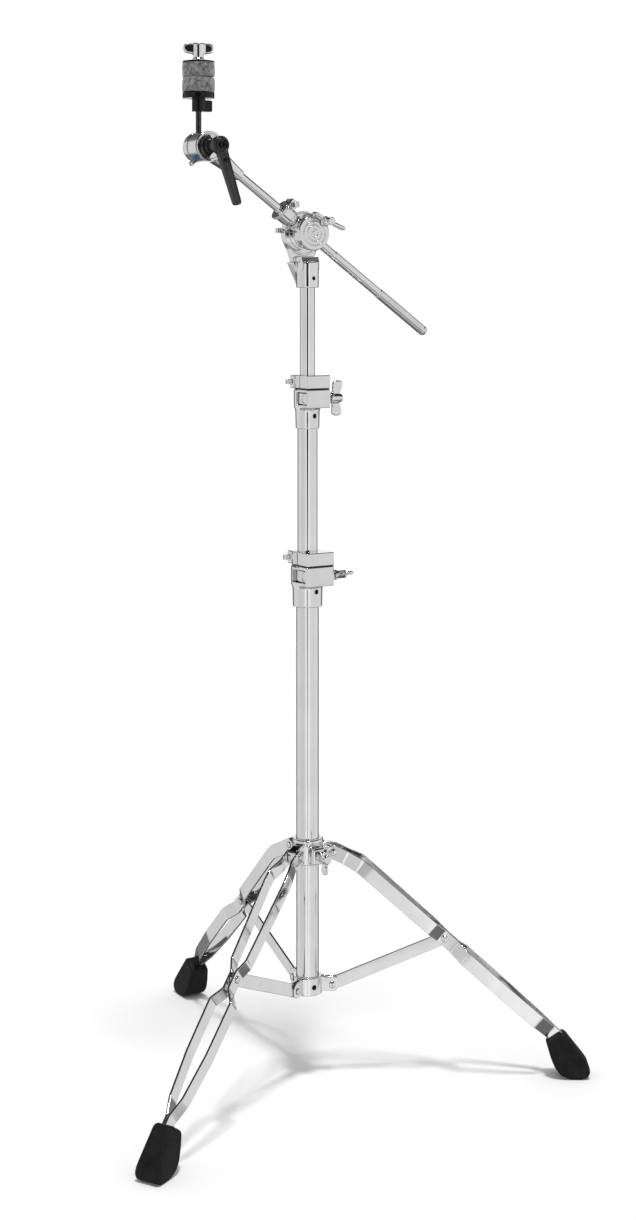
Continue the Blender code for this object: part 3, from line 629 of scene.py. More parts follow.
def strip_path():
    """The stations as a smooth bent line of points (distance, height, offset)."""
    path = rounded(strip_stations(), 2.5, closed=False, steps=3)
    fine = []
    for first, second in zip(path, path[1:]):
        pieces = max(1, round((second - first).length / 6.0))
        fine += [first.lerp(second, step / pieces) for step in range(pieces)]
    return fine + [path[-1]]


def strip_rows(side):
    """Sections of one leg strip; side is +1 or -1 across the leg."""
    height, thickness = 17.5, 2.7
    path = strip_path()
    travelled = 0.0
    rows = []
    for index, here in enumerate(path):
        before, after = path[max(index - 1, 0)], path[min(index + 1, len(path) - 1)]
        run = (after - before).normalized()
        rise = Vector((-run.y, run.x, 0.0)).normalized()
        outward = run.cross(rise)
        outward *= -1.0 if outward.z < 0.0 else 1.0
        travelled += (here - path[max(index - 1, 0)]).length
        end = max(0.0, 1.0 - travelled / (height / 2))
        width = height * max(0.25, math.sqrt(1.0 - end * end))
        row = []
        for up, deep in bar_section(width, thickness):
            point = here + rise * up + outward * deep
            row.append((point.x, side * point.z, point.y))
        rows.append(row if side < 0 else row[::-1])
    return rows


def rivet_profile(half_length, radius, head_radius, head):
    """Half of a riveted pin's outline, mirrored into a full one: a low domed head at each end."""
    dome = [(head_radius, half_length), (head_radius, half_length + head * 0.4),
            (head_radius * 0.72, half_length + head * 0.9), (head_radius * 0.3, half_length + head),
            (head_radius * 0.22, half_length + head * 0.6), (0.0, half_length + head * 0.6)]
    upper = [(radius, half_length), *dome]
    lower = [(r, -z) for r, z in reversed(upper)]
    return lower + upper


def cross_pin(name, plane, body, half_length, radius, head_radius, place):
    matrix = plane @ shift(place[0], 0.0, place[1]) @ turn(-90, "X")
    profile = rivet_profile(half_length, radius, head_radius, 1.9)
    turned(name + "_fine", profile, matrix, SMALL_CHROME, body, [name], fillet=0.4)


def half_rivet(name, plane, body, side):
    """The half of the leg rivet in one strip: a shank and a domed, dished head."""
    inner, outer = 1.9, 4.9
    profile = [(0.0, inner), (2.3, inner), (2.3, outer), (4.5, outer), (4.5, outer + 0.8),
               (3.4, outer + 2.0), (1.5, outer + 2.0), (1.2, outer + 1.3), (0.0, outer + 1.3)]
    matrix = plane @ shift(BRACE_PIVOT[0], 0.0, BRACE_PIVOT[1]) @ turn(-90 * side, "X")
    turned(name + "_fine", profile, matrix, SMALL_CHROME, body, [name], fillet=0.5)


def foot_field():
    """A rubber boot, drawn in towards its mouth, and the distance it is centred on."""
    outline = [(303.0, 43.4), (319.9, 55.6), (327.0, 55.6), (350.3, 25.7), (356.4, 17.0), (357.9, 9.0),
               (354.5, 2.2), (347.0, 0.0), (334.0, 0.0), (321.0, 4.5), (313.0, 14.3), (308.0, 26.0)]
    centre = 330.0
    outline = [(x - centre, z) for x, z in outline]
    side = prism(rounded(outline, 4.0), -40.0, 40.0, axis=1)

    def sides(p):
        width = 11.5 + 5.0 * np.clip((56.0 - p[2]) / 45.0, 0.0, 1.0)
        return (np.abs(p[1]) - width) * 0.994

    return overlap(3.4, side, sides), centre


def make_leg(letter):
    plane = leg_plane(letter)
    body = "leg_" + letter
    for name, side in (("left", 1), ("right", -1)):
        strip = f"leg_strip_{name}_{letter}"
        mesh = swept_mesh(strip + "_fine", strip_rows(side))
        piece(strip + "_fine", mesh, plane, STRIP_CHROME, body, [strip])
        half_rivet(f"leg_rivet_{name}_{letter}", plane, body, side)
    cross_pin("hub_pin_" + letter, plane, "hub_slider", 9.3, 2.3, 4.3, HUB_PIVOT)
    cross_pin("collar_pin_" + letter, plane, "base", 4.7, 2.0, 4.2, COLLAR_PIVOT)


def make_feet():
    boot, centre = foot_field()
    for letter in LETTERS:
        matrix = leg_plane(letter) @ shift(centre)
        cast(f"foot_{letter}_fine", boot, matrix, RUBBER, "leg_" + letter, ["foot_" + letter])


def make_braces():
    """Flat bars with round ends, skinned across their thickness so that the rims are rounded."""
    run = Vector(BRACE_PIVOT) - Vector(COLLAR_PIVOT)
    half, thickness = 8.0, 3.0
    outline = arc(half, 24, (run.length, 0.0), -90.0, 180.0) + arc(half, 24, (0.0, 0.0), 90.0, 180.0)
    rows = []
    for lift, shrink in ((-1, 0.7), (-0.8, 0.2), (-0.5, 0.0), (0.5, 0.0), (0.8, 0.2), (1, 0.7)):
        row = []
        for x, z in outline:
            middle = Vector((min(max(x, 0.0), run.length), 0.0))
            point = Vector((x, z))
            point -= (point - middle).normalized() * shrink
            row.append((point.x, lift * thickness / 2, point.y))
        rows.append(row)
    for letter in LETTERS:
        matrix = leg_plane(letter) @ shift(COLLAR_PIVOT[0], 0.0, COLLAR_PIVOT[1])
        matrix = matrix @ turn(-math.degrees(math.atan2(run.y, run.x)), "Y")
        name = "brace_" + letter
        mesh = swept_mesh(name + "_fine", rows)
        piece(name + "_fine", mesh, matrix, STRIP_CHROME, "brace_link_" + letter, [name])


def ear(thickness_low, thickness_high):
    """One collar ear in a leg's plane: a tab with a rounded outer end."""
    half = 9.4
    reach, height = COLLAR_PIVOT[0] + 7.4, 1.0
    outline = [(14.0, height - half), (reach, height - half), (reach, height + half),
               (14.0, height + half)]
    return prism(rounded(outline, 6.4), thickness_low, thickness_high, axis=1, edge=0.6)


def make_lower_collar():
    """Modelled about the collar pivot's height."""
    height = COLLAR_PIVOT[1]
    ring = spun(rounded([(13.0, -10.6), (18.6, -10.6), (18.6, 11.7), (13.0, 11.7)], 1.1))
    ears, gaps = [], []
    for azimuth in LEG_AZIMUTHS:
        facing = about("Z", azimuth)
        ears.append(placed(both_sides(ear(1.9, 4.4), 1), facing))
        gaps.append(placed(block((18.9, -1.9, -14.0), (45.0, 1.9, 14.0)), facing))
    screw = placed(disc(3.1, 10.0, 25.0, axis=0), about("Z", -62.0))
    body = carve(0.5, blend(1.6, ring, *ears), *gaps, disc(14.6, -20.0, 20.0), screw)
    matrix = COLUMN @ shift(z=height)
    cast("lower_collar_fine", body, matrix, CAST_CHROME, "base", ["lower_collar"], reach=48.0)
    facing = matrix @ turn(-62.0, "Z") @ shift(18.2) @ turn(90, "Y")
    screw = set_screw("collar_screw_fine", facing, "base", 2.9, 3.0)
    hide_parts("collar_screw")


def make_hub():
    """The sliding hub: a grooved ring with a lug for each leg and a boss for its wing bolt."""
    ring = spun(rounded([(13.0, -14.5), (19.8, -14.5), (19.8, 17.0), (13.0, 17.0)], 1.8))
    groove = spun([(19.2, 11.2), (22.0, 11.2), (22.0, 12.6), (19.2, 12.6)])
    lugs, holes = [], []
    for azimuth in LEG_AZIMUTHS:
        facing = about("Z", azimuth)
        outline = [(15.0, -11.0), (39.4, -7.0), (39.4, 7.0), (26.0, 12.0), (15.0, 12.0)]
        lugs.append(placed(prism(rounded(outline, 5.0), -5.9, 5.9, axis=1, edge=1.0), facing))
        holes.append(placed(disc(2.5, -12.0, 12.0, axis=1, centre=(HUB_PIVOT[0], 0.0)), facing))
    bolt_side = math.degrees(math.atan2(joint_axis("hub_bolt_turn").y, joint_axis("hub_bolt_turn").x))
    boss = placed(block((15.0, -8.0, -11.5), (30.0, 8.0, 9.0), 2.4), about("Z", bolt_side))
    thread = placed(disc(3.1, 10.0, 40.0, axis=0), about("Z", bolt_side))
    body = carve(0.5, blend(2.4, carve(0.6, ring, groove), boss, *lugs), *holes, thread,
                 disc(14.6, -20.0, 20.0))
    cast("hub_fine", body, COLUMN @ shift(z=HUB_HEIGHT), CAST_CHROME, "hub_slider", ["hub"], reach=48.0)
    matrix = bolt_frame("hub_bolt_turn") @ turn(-8.0, "Z")
    wing_bolt("hub_wing_bolt", matrix, "hub_bolt", (14.8, 33.0), (33.0, 52.0), (39.0, 53.0), 39.0)


# ---------------------------------------------------------------- height clamps and memory locks

def clamp_outline(boss, left, right, front):
    """Plan of a tube clamp: a round boss behind and a squared block in front and to the right."""
    return [(left, -front), (right, -front), (right, -6.0), (boss, -1.0),
            *arc(boss, 25, (0.0, 0.0), 6.0, 168.0), (left, -1.0)]


def make_clamp(name, sizes, lower_radius, upper_radius, window, body):
    """A cast clamp: its sleeve is fixed on the lower tube, and a shoe in its window is drawn
    against the bushing round the upper tube."""
    sleeve_low, block_low, block_high, boss, left, right, front = sizes
    middle = (block_low + block_high) / 2
    low, high, bottom = block_low - middle, block_high - middle, sleeve_low - middle
    bush_outer = upper_radius + 2.4
    bolt_y = -bush_outer - 4.9
    sleeve = spun(rounded([(8.0, bottom), (boss - 1.4, bottom), (boss - 0.3, high - 2.0),
                           (8.0, high - 2.0)], 1.6))
    bulk = prism(rounded(clamp_outline(boss, left, right, front), 2.0), low, high, edge=1.6)
    pocket = block((left - 4.0, window[0], -8.0), (left + 6.0, window[1], 8.0), 1.6)
    bolt_hole = disc(3.1, -10.0, right + 6.0, axis=0, centre=(bolt_y, 0.0))
    screw_lift, screw_side = low - (7.6 if name == "lower" else 10.2), -83.0
    screw_hole = placed(disc(2.9, 10.0, 40.0, axis=0), about("Z", screw_side, 0.0, 0.0, screw_lift))
    field = blend(5.0, bulk, sleeve)
    field = carve(0.6, field, pocket, bolt_hole, screw_hole,
                  disc(lower_radius + 0.3, bottom - 5.0, high - 10.0),
                  disc(bush_outer + 0.3, -8.0, high + 5.0))
    matrix = CLAMPS @ shift(z=middle)
    cast(name + "_clamp_fine", field, matrix, CAST_CHROME, body, [name + "_clamp"], reach=60.0)
    shoe = block((left + 0.6, window[0] + 0.5, -7.0), (left + 5.6, window[1] - 0.5, 7.0), 1.0)
    dish = disc(5.4, left - 3.0, left + 1.6, axis=0, centre=(bolt_y + 1.4, 0.0), edge=0.8)
    shoe = carve(0.5, shoe, dish, disc(bush_outer + 0.3, -12.0, 12.0))
    cast(name + "_shoe_fine", shoe, matrix, SMALL_CHROME, body, [name + "_shoe"], reach=36.0, step=0.3)
    pipe(name + "_bushing_fine", bush_outer, upper_radius + 0.3, -4.0 if name == "lower" else -7.0,
         high - 0.5, matrix, NYLON, body, [name + "_bushing"])
    facing = matrix @ turn(screw_side, "Z") @ shift(boss - 1.9, 0.0, screw_lift) @ turn(90, "Y")
    set_screw(name + "_clamp_screw", facing, body, 3.0)


def make_memory_lock(name, sizes, thickness, tube_radius, body):
    """A split ring that marks the height, on a thin black washer, with its key screw behind."""
    low, boss, left, right, front = sizes
    ring = prism(rounded(clamp_outline(boss, left, right, front), 2.0), 1.2, thickness, edge=1.2)
    groove_y = -3.0 if name == "lower" else -6.0
    groove = block((left - 2.0, groove_y - 0.7, -1.0), (left + 3.5, groove_y + 0.7, 20.0))
    inset = 0.5
    washer = clamp_outline(boss - inset, left + inset, right - inset, front - inset)
    washer = prism(rounded(washer, 2.0), 0.2, 1.4)
    washer = carve(0.3, washer, disc(tube_radius + 0.3, -5.0, 30.0))
    lug = block((left + 1.0, tube_radius + 1.5, 0.3),
                (left + 25.0, tube_radius + 11.0, thickness - 0.8), 1.8)
    slit = left + 13.0
    gap = block((slit - 0.8, tube_radius - 2.0, -1.0), (slit + 0.8, tube_radius + 14.0, 20.0))
    screw_y, screw_z = tube_radius + 6.5, thickness / 2
    hole = disc(2.5, left - 2.0, left + 27.0, axis=0, centre=(screw_y, screw_z))
    field = carve(0.4, blend(2.0, ring, lug), gap, groove, hole, disc(tube_radius + 0.3, -5.0, 30.0))
    matrix = CLAMPS @ shift(z=low)
    cast(name + "_lock_washer", washer, matrix, PLASTIC, body, reach=45.0)
    cast(name + "_memory_lock_fine", field, matrix, CAST_CHROME, body, [name + "_memory_lock"],
         reach=45.0)
    key_screw(name + "_key_screw_fine", matrix @ shift(0.0, screw_y, screw_z), body,
              [name + "_key_screw"], (left - 4.5, left + 23.0), (left - 6.5, left + 0.5))


def make_height_sections():
    """The two clamps with their locks and wing bolts. sizes: foot of the sleeve, foot and top of
    the block, radius of the boss, and the block's left, right and front faces."""
    sizes = (598.5, 626.0, 650.8, 20.0, -17.0, 23.0, 28.0)
    make_clamp("lower", sizes, BASE_RADIUS, MID_RADIUS, (-23.0, 2.5), "base")
    make_memory_lock("lower", sizes[2:], 17.7, MID_RADIUS, "lower_lock")
    matrix = bolt_frame("lower_bolt_turn") @ turn(78.0, "Z")
    wing_bolt("lower_wing_bolt", matrix, "lower_bolt", (-9.0, 26.5), (26.5, 43.5), (28.0, 44.0), 46.0)
    sizes = (823.4, 850.0, 873.4, 16.4, -15.0, 19.3, 25.0)
    make_clamp("upper", sizes, MID_RADIUS, TOP_RADIUS, (-23.0, -1.0), "mid_section")
    make_memory_lock("upper", sizes[2:], 17.9, TOP_RADIUS, "upper_lock")
    matrix = bolt_frame("upper_bolt_turn") @ turn(4.0, "Z")
    wing_bolt("upper_wing_bolt", matrix, "upper_bolt", (-9.0, 22.8), (22.8, 39.8), (24.3, 40.3), 46.0)


# ---------------------------------------------------------------- tilter and boom

def make_yoke():
    """The fixed half of the tilter, in the level frame: a round head on a socket."""
    back, face = -19.0, -10.2
    low, high = -69.0, -36.5
    head = disc(28.0, back, face, edge=1.2)
    rim = carve(0.6, disc(28.0, face - 2.0, face + 1.4, edge=0.7), disc(25.6, face - 9.0, face + 5.0))
    flank = [(-27.4, 2.0), (-27.0, -8.0), (-22.5, -14.0), (-4.0, low + 0.5), (10.0, low + 0.5),
             (14.0, -36.0), (26.0, -8.0)]
    web = prism(rounded(flank, 3.0), back, face, edge=1.0)
    neck = prism(rounded([(-46.0, back + 1.0), (-46.0, 9.0), (high, 9.0), (-30.0, 6.8),
                          (-30.0, back + 1.0)], 0.8), -12.8, 12.8, axis=0, edge=0.8)
    gusset = [(-20.0, high), (-5.0, low + 2.5), (-3.0, low + 0.5), (6.0, low + 0.5), (6.0, high)]
    gusset = prism(rounded(gusset, 1.5), back, -4.0, edge=1.4)
    socket = spun(rounded([(0.0, low), (14.3, low), (14.3, high), (0.0, high)], 1.4), axis=1)
    bore = disc(9.82, low - 8.0, -40.7, axis=1)
    screw_hole = disc(2.4, 6.0, 24.0, centre=(1.0, low + 12.0))
    key_hole = disc(2.5, -40.0, -14.0, axis=0, centre=(3.0, back + 3.7))
    field = carve(0.5, blend(1.5, head, web, neck, socket, gusset), bore, screw_hole, key_hole,
                  disc(5.9, -30.0, 0.0))
    cast("yoke_fine", union(field, rim), LEVEL, CAST_CHROME, "top_section", ["yoke"], reach=78.0)
    key_screw("yoke_key_screw_fine", LEVEL @ shift(0.0, 3.0, back + 3.7), "top_section",
              ["yoke_key_screw"], (-32.0, -15.0), (-36.5, -30.0))
    set_screw("yoke_set_screw", LEVEL @ shift(1.0, low + 12.0, 12.6), "top_section", 2.3)
    nut = [(0.0, back - 6.0), (4.0, back - 6.0), (7.2, back - 4.6), (8.2, back - 0.4), (0.0, back - 0.4)]
    turned("pivot_nut", nut, LEVEL, SMALL_CHROME, "top_section", fillet=0.6)


def make_tilter():
    """The moving half of the tilter in the boom's frame, with its round cap."""
    barrel = disc(8.5, -24.0, 24.0, axis=0, edge=1.0)
    drum = disc(20.5, -9.6, 7.8, edge=1.2)
    cheek = block((-7.0, 6.0, -8.0), (14.0, 27.0, 7.8), 2.6)
    spigot = disc(5.5, -22.0, -6.6)
    bolt_hole = disc(3.2, -14.0, 14.0, centre=(3.0, 20.0))
    field = carve(0.4, blend(2.0, drum, barrel, cheek, spigot), disc(6.15, -30.0, 30.0, axis=0),
                  block((-30.0, 3.0, -0.8), (30.0, 40.0, 0.8)), bolt_hole)
    cast("tilter_body_fine", field, TILT, CAST_CHROME, "boom_tilter", ["tilter_body"], reach=42.0)
    rings = [(0.0, 8.8), (22.0, 8.8), (22.5, 9.3), (22.5, 15.6), (21.2, 17.4), (16.4, 17.4),
             (15.9, 16.6), (15.2, 16.6), (14.7, 17.5), (11.0, 17.5), (10.5, 16.6), (9.8, 16.6),
             (9.3, 17.6), (5.6, 17.6), (5.0, 16.5), (2.6, 16.5), (2.2, 17.4), (0.0, 17.9)]
    cap = carve(0.5, spun(rounded(rings, 0.5, closed=False) + [Vector((0.0, 8.8))]),
                disc(5.8, 5.0, 25.0, centre=(3.0, 20.0)))
    cast("tilter_cap_fine", cap, TILT, SMALL_CHROME, "boom_tilter", ["tilter_cap"], reach=30.0)
    matrix = TILT @ shift(3.0, 20.0) @ turn(12.0, "Z")
    wing_bolt("tilter_wing_bolt", matrix, "tilter_bolt", (-9.0, 19.0), (19.0, 37.0), (22.0, 34.0), 51.0)


def make_boom_lock():
    """The memory lock on the boom: a grooved flange, a slit lug and its square-headed screw."""
    ring = spun(rounded([(5.0, -50.0), (14.0, -50.0), (14.0, -48.6), (13.4, -48.4), (13.4, -47.9),
                         (14.0, -47.7), (14.0, -46.6), (11.8, -46.3), (11.8, -33.0), (9.9, -32.0),
                         (9.9, -28.5), (5.0, -28.5)], 0.5), axis=0)
    lug = block((-46.0, 6.0, -8.0), (-34.8, 20.4, 8.2), 1.2)
    slit = block((-55.0, 3.0, -0.7), (-20.0, 30.0, 0.7))
    hole = disc(2.4, -9.0, 20.0, centre=(-39.2, 15.0))
    field = carve(0.3, blend(1.0, ring, lug), disc(6.15, -60.0, 0.0, axis=0), slit, hole)
    cast("boom_memory_lock_fine", field, TILT, CAST_CHROME, "boom_lock", ["boom_memory_lock"],
         reach=54.0)
    head = block((-3.4, -3.4, 8.9), (3.4, 3.4, 14.9), 0.8)
    field = carve(0.4, union(head, disc(2.1, -7.5, 11.0, edge=0.3)), disc(1.4, 14.0, 18.0))
    matrix = TILT @ shift(-39.2, 15.0) @ turn(45.0, "Z")
    cast("boom_key_screw_fine", field, matrix, SMALL_CHROME, "boom_lock", ["boom_key_screw"],
         reach=18.0, step=0.25)


def make_boom():
    """The boom rod, stepped up towards its tail, with the finely grooved grip at the end."""
    tail = 220.0
    start = -BOOM_REACH + 31.0
    matrix = TILT @ turn(90, "Y")
    smooth = [(0.0, start), (5.5, start), (5.5, 46.0), (5.8, 47.0), (5.8, 130.0), (6.1, 131.5),
              (0.0, 131.5)]
    turned("boom_rod_fine", smooth, matrix, TUBE_CHROME, "boom", ["boom_rod"], fillet=0.8)
    grip = [(0.0, 131.0), (6.4, 131.0), (6.4, tail - 9.0), (6.1, tail - 8.2), (6.1, tail - 7.4),
            (6.4, tail - 6.6), (6.4, tail - 4.0), (4.8, tail - 0.8), (0.0, tail)]
    turned("boom_tail_grip", grip, matrix, KNURLED, "boom", fillet=0.8)


def drum_ring(name, low, high, body):
    """A thin black ring let into the drum."""
    profile = [(12.0, low), (18.0, low), (18.0, high), (12.0, high)]
    turned(name, profile, DRUM, PLASTIC, body, fillet=0.2, ring=True)


def make_boom_head():
    """The fixed half of the cymbal tilter: a grooved drum with a tapered neck for the boom."""
    profile = [(4.4, -12.4), (18.0, -12.4), (18.4, -12.0), (18.4, 8.6), (18.1, 8.9), (16.4, 8.9),
               (16.4, 11.2), (18.1, 11.2), (18.4, 11.5), (18.4, 12.5), (17.9, 13.0), (15.6, 13.0),
               (15.2, 12.4), (4.4, 12.4)]
    drum = spun(rounded(profile, 0.3))
    neck_profile = [(0.0, 12.0), (12.4, 12.0), (9.6, 32.0), (7.6, 52.0), (6.9, 60.0), (0.0, 60.0)]
    neck = placed(spun(rounded(neck_profile, 1.0), axis=0), about("Z", -BOOM_RISE))
    bore = placed(disc(5.8, 30.7, 70.0, axis=0), about("Z", -BOOM_RISE))
    field = carve(0.4, blend(2.5, drum, neck), bore, disc(4.4, -20.0, 20.0))
    cast("boom_head_fine", field, DRUM, SMALL_CHROME, "boom", ["boom_head"], reach=64.0, step=0.4)
    drum_ring("drum_groove_ring", 9.0, 11.1, "boom")
    drum_ring("drum_joint_ring", -14.5, -12.5, "boom")
    matrix = DRUM @ shift(z=1.5) @ turn(47.0, "Z")
    sleeve = [(0.0, -25.4), (3.0, -25.4), (3.6, -24.6), (3.6, -17.2), (0.0, -17.2)]
    turned("drum_screw_sleeve", sleeve, matrix @ turn(90, "Y"), BLUE_NYLON, "boom")
    head = block((-31.6, -2.4, -2.4), (-25.2, 2.4, 2.4), 0.7)
    cast("drum_screw", head, matrix, SMALL_CHROME, "boom", reach=36.0, step=0.3)


def make_cymbal_tilter():
    """The moving half: a round drum with the spindle, and the dark rod that rises from it."""
    rear, front = -28.0, -13.9
    profile = [(0.0, rear), (15.0, rear), (17.4, rear + 1.4), (18.4, rear + 4.0), (18.4, front - 1.1),
               (18.0, front - 0.7), (4.0, front - 0.7), (4.0, 38.0), (0.0, 38.0)]
    rod_hole = disc(3.8, 6.0, 30.0, axis=1, centre=(0.0, ROD_SHIFT))
    field = carve(0.4, spun(rounded(profile, 0.5)), rod_hole)
    cast("cymbal_tilter_fine", field, DRUM, SMALL_CHROME, "cymbal_holder", ["cymbal_tilter"], reach=45.0)
    stem = [(0.0, 6.3), (3.2, 6.3), (3.5, 6.6), (3.5, 106.0), (3.2, 107.0), (3.2, 126.0), (0.0, 126.6)]
    turned("cymbal_rod_fine", stem, SEAT, DARK_STEEL, "cymbal_holder", ["cymbal_rod"])


def make_seat():
    """The flanged seat with its sleeve and side screw, and the washer on top of the felts."""
    low, flange, top = 44.0, 60.0, 67.3
    middle = (low + top) / 2
    profile = [(3.8, low - middle), (8.2, low - middle), (8.2, flange - middle),
               (19.7, flange - middle), (19.7, top - middle), (6.0, top - middle),
               (6.0, 100.0 - middle), (3.8, 100.0 - middle)]
    boss = block((5.0, -6.0, low - middle), (16.6, 6.0, flange - 2.0 - middle), 1.6)
    screw_hole = disc(2.9, 12.0, 20.0, axis=0, centre=(0.0, low + 6.4 - middle))
    field = carve(0.4, blend(1.2, spun(rounded(profile, 0.8)), boss), screw_hole)
    cast("cymbal_seat_fine", field, SEAT @ shift(z=middle), GLOSS_PLASTIC, "cymbal_holder",
         ["cymbal_seat"], reach=50.0)
    facing = SEAT @ shift(17.4, 0.0, low + 6.4) @ turn(90, "Y")
    turned("seat_screw", [(0.0, -5.0), (2.6, -5.0), (2.6, 0.6), (1.4, 0.6), (1.2, -0.4), (0.0, -0.4)],
           facing, SMALL_CHROME, "cymbal_holder", fillet=0.4)
    washer = [(4.2, 104.6), (19.8, 104.6), (19.8, 105.9), (4.2, 105.9)]
    turned("cup_washer_fine", washer, SEAT, BLACK_STEEL, "cymbal_holder", ["cup_washer"], ring=True)


def felt_mesh(name, low, high):
    """A pressed felt disc: rounded rims, sides that bulge a little and an uneven, matted skin."""
    radius, hole = 20.1, 6.4
    thick = high - low
    profile = rounded([(hole, low), (radius - 0.5, low), (radius, low + thick * 0.3),
                       (radius, low + thick * 0.7), (radius - 0.5, high), (hole, high)], 1.0, steps=6)
    return turned_mesh(name, [tuple(point) for point in profile], 0.0001, ring=True, segments=160)


def fluff(made, name, strength):
    """Subdivide a felt and push its skin in and out by matted-fibre noise."""
    finer = made.modifiers.new("finer", "SUBSURF")
    finer.levels = finer.render_levels = 1
    pattern = bpy.data.textures.new("fibres_" + name, "CLOUDS")
    pattern.noise_scale = 0.0016
    pattern.noise_depth = 4
    push = made.modifiers.new("matted", "DISPLACE")
    push.texture = pattern
    push.texture_coords = "LOCAL"
    push.strength = strength
    push.mid_level = 0.65


def make_felts():
    """Two felts, each tipped a little about its own middle, as they sit in the hand-tightened stack."""
    for name, low, high, tip in (("lower_felt", 67.6, 85.4, 2.4), ("upper_felt", 86.4, 104.3, -0.9)):
        middle = (low + high) / 2
        tipped = SEAT @ shift(z=middle) @ turn(tip, "Y") @ shift(z=-middle)
        mesh = felt_mesh(name + "_wool", low, high)
        made = piece(name + "_wool", mesh, tipped, FELT, "cymbal_holder", [name])
        fluff(made, name, 0.0007)


def make_wing_nut():
    matrix = frame_at(joint_point("wing_nut_turn"), WORLD_Z.cross(TILT_AXIS),
                      joint_axis("wing_nut_turn"))
    low, high = 106.2, 128.1
    barrel = spun(rounded([(2.0, low), (7.6, low), (7.6, low + 2.0), (6.2, low + 4.0), (6.2, high - 1.0),
                           (5.4, high), (2.0, high)], 0.8))
    lobe = [(0.0, high - 13.5), (6.0, high - 14.0), (16.0, high - 12.5), (19.0, high - 8.5),
            (18.6, high - 2.6), (14.0, high - 0.4), (0.0, high - 0.2)]
    wings = both_sides(prism(rounded(lobe, 3.2), -2.6, 2.6, axis=1, edge=2.0), 0)
    field = carve(0.4, blend(2.6, barrel, wings), disc(3.8, low - 4.0, high + 4.0))
    cast("wing_nut_fine", field, matrix @ turn(-18.0, "Z"), CAST_CHROME, "top_nut", ["wing_nut"],
         reach=132.0, step=0.4)


def make_lever():
    """The ratchet lever: half-round foot, neck, hub with a raised ring and its screw, and a
    tapered arm with a sunk face."""
    low, high, reach = 32.5, 42.5, 71.0

    def arm(inset, top, bottom):
        outline = [(6.9, top), (5.9, -24.0), (4.8, -reach), (4.0, -bottom), (-4.0, -bottom),
                   (-4.8, -reach), (-5.9, -24.0), (-6.9, top)]
        return rounded([(x - math.copysign(inset, x), y) for x, y in outline], 3.0)

    blade = prism(arm(0.0, -2.0, reach + 4.8), low, high, edge=1.6)
    sunk = prism(arm(1.7, -31.0, reach + 2.6), high - 0.9, high + 5.0)
    pin_dish = disc(4.4, high - 2.2, high + 5.0, centre=(0.0, -19.6))
    shoulder = prism(arm(1.7, -12.0, 26.0), high - 0.9, high + 5.0)
    hub = disc(11.0, low, high, edge=1.6)
    rim = disc(8.0, high - 2.0, high + 3.4, edge=0.9)
    dish = disc(6.4, high + 1.2, high + 8.0)
    neck = disc(8.6, 14.0, 36.0)
    foot = [*arc(14.5, 40, start=105.0, sweep=150.0), (0.0, -9.0), (0.0, 9.0)]
    foot = placed(prism(foot, 13.3, 18.5, edge=0.6), about("Z", -18.5))
    field = blend(1.2, carve(0.5, blade, sunk, shoulder), hub)
    field = blend(2.0, blend(0.8, field, rim), neck, foot)
    field = carve(0.4, field, dish, pin_dish, disc(4.4, 10.0, 39.0))
    matrix = DRUM @ turn(18.5, "Z")
    cast("ratchet_lever_fine", field, matrix, LEVER_PLASTIC, "lever", ["ratchet_lever"],
         reach=84.0)
    socket = prism(arc(2.3, 6), high + 1.6, high + 9.0)
    screw = carve(0.3, disc(4.5, high - 1.0, high + 3.8, edge=0.7), socket)
    cast("lever_screw", screw, matrix, BLACK_STEEL, "lever", reach=50.0, step=0.25)
    pin = [(0.0, high - 3.0), (2.4, high - 3.0), (2.4, high - 0.9), (1.7, high - 0.3), (0.0, high - 0.1)]
    turned("lever_pin", pin, matrix @ shift(0.0, -19.2), BLACK_STEEL, "lever")


# ---------------------------------------------------------------- floor, light and camera

def make_floor():
    """A round pale floor: what lies past it is as white as it is."""
    radius = 4000.0
    profile = [(0.0, -1.0), (radius, -1.0), (radius, 0.0), (0.0, 0.0)]
    floor = bpy.data.objects.new("floor", turned_mesh("floor", profile, 0.2))
    bpy.context.scene.collection.objects.link(floor)
    nodes = Nodes("floor_paper")
    nodes.colour(nodes.ramp(nodes.noise(2.0), [(0.2, 0.87), (0.8, 0.89)]))
    nodes.set(Roughness=0.9, Specular_IOR_Level=0.1)
    floor.data.materials.append(nodes.material)
    floor.visible_glossy = False


def make_light():
    """One large soft lamp high above and a little in front of the stand."""
    lamp = bpy.data.lights.new("soft_lamp", "SUN")
    lamp.energy = 1.95
    lamp.angle = math.radians(8.5)
    made = bpy.data.objects.new("soft_lamp", lamp)
    bpy.context.scene.collection.objects.link(made)
    towards = Vector((0.06, -0.22, 1.0)).normalized()
    made.rotation_euler = towards.to_track_quat("Z", "Y").to_euler()


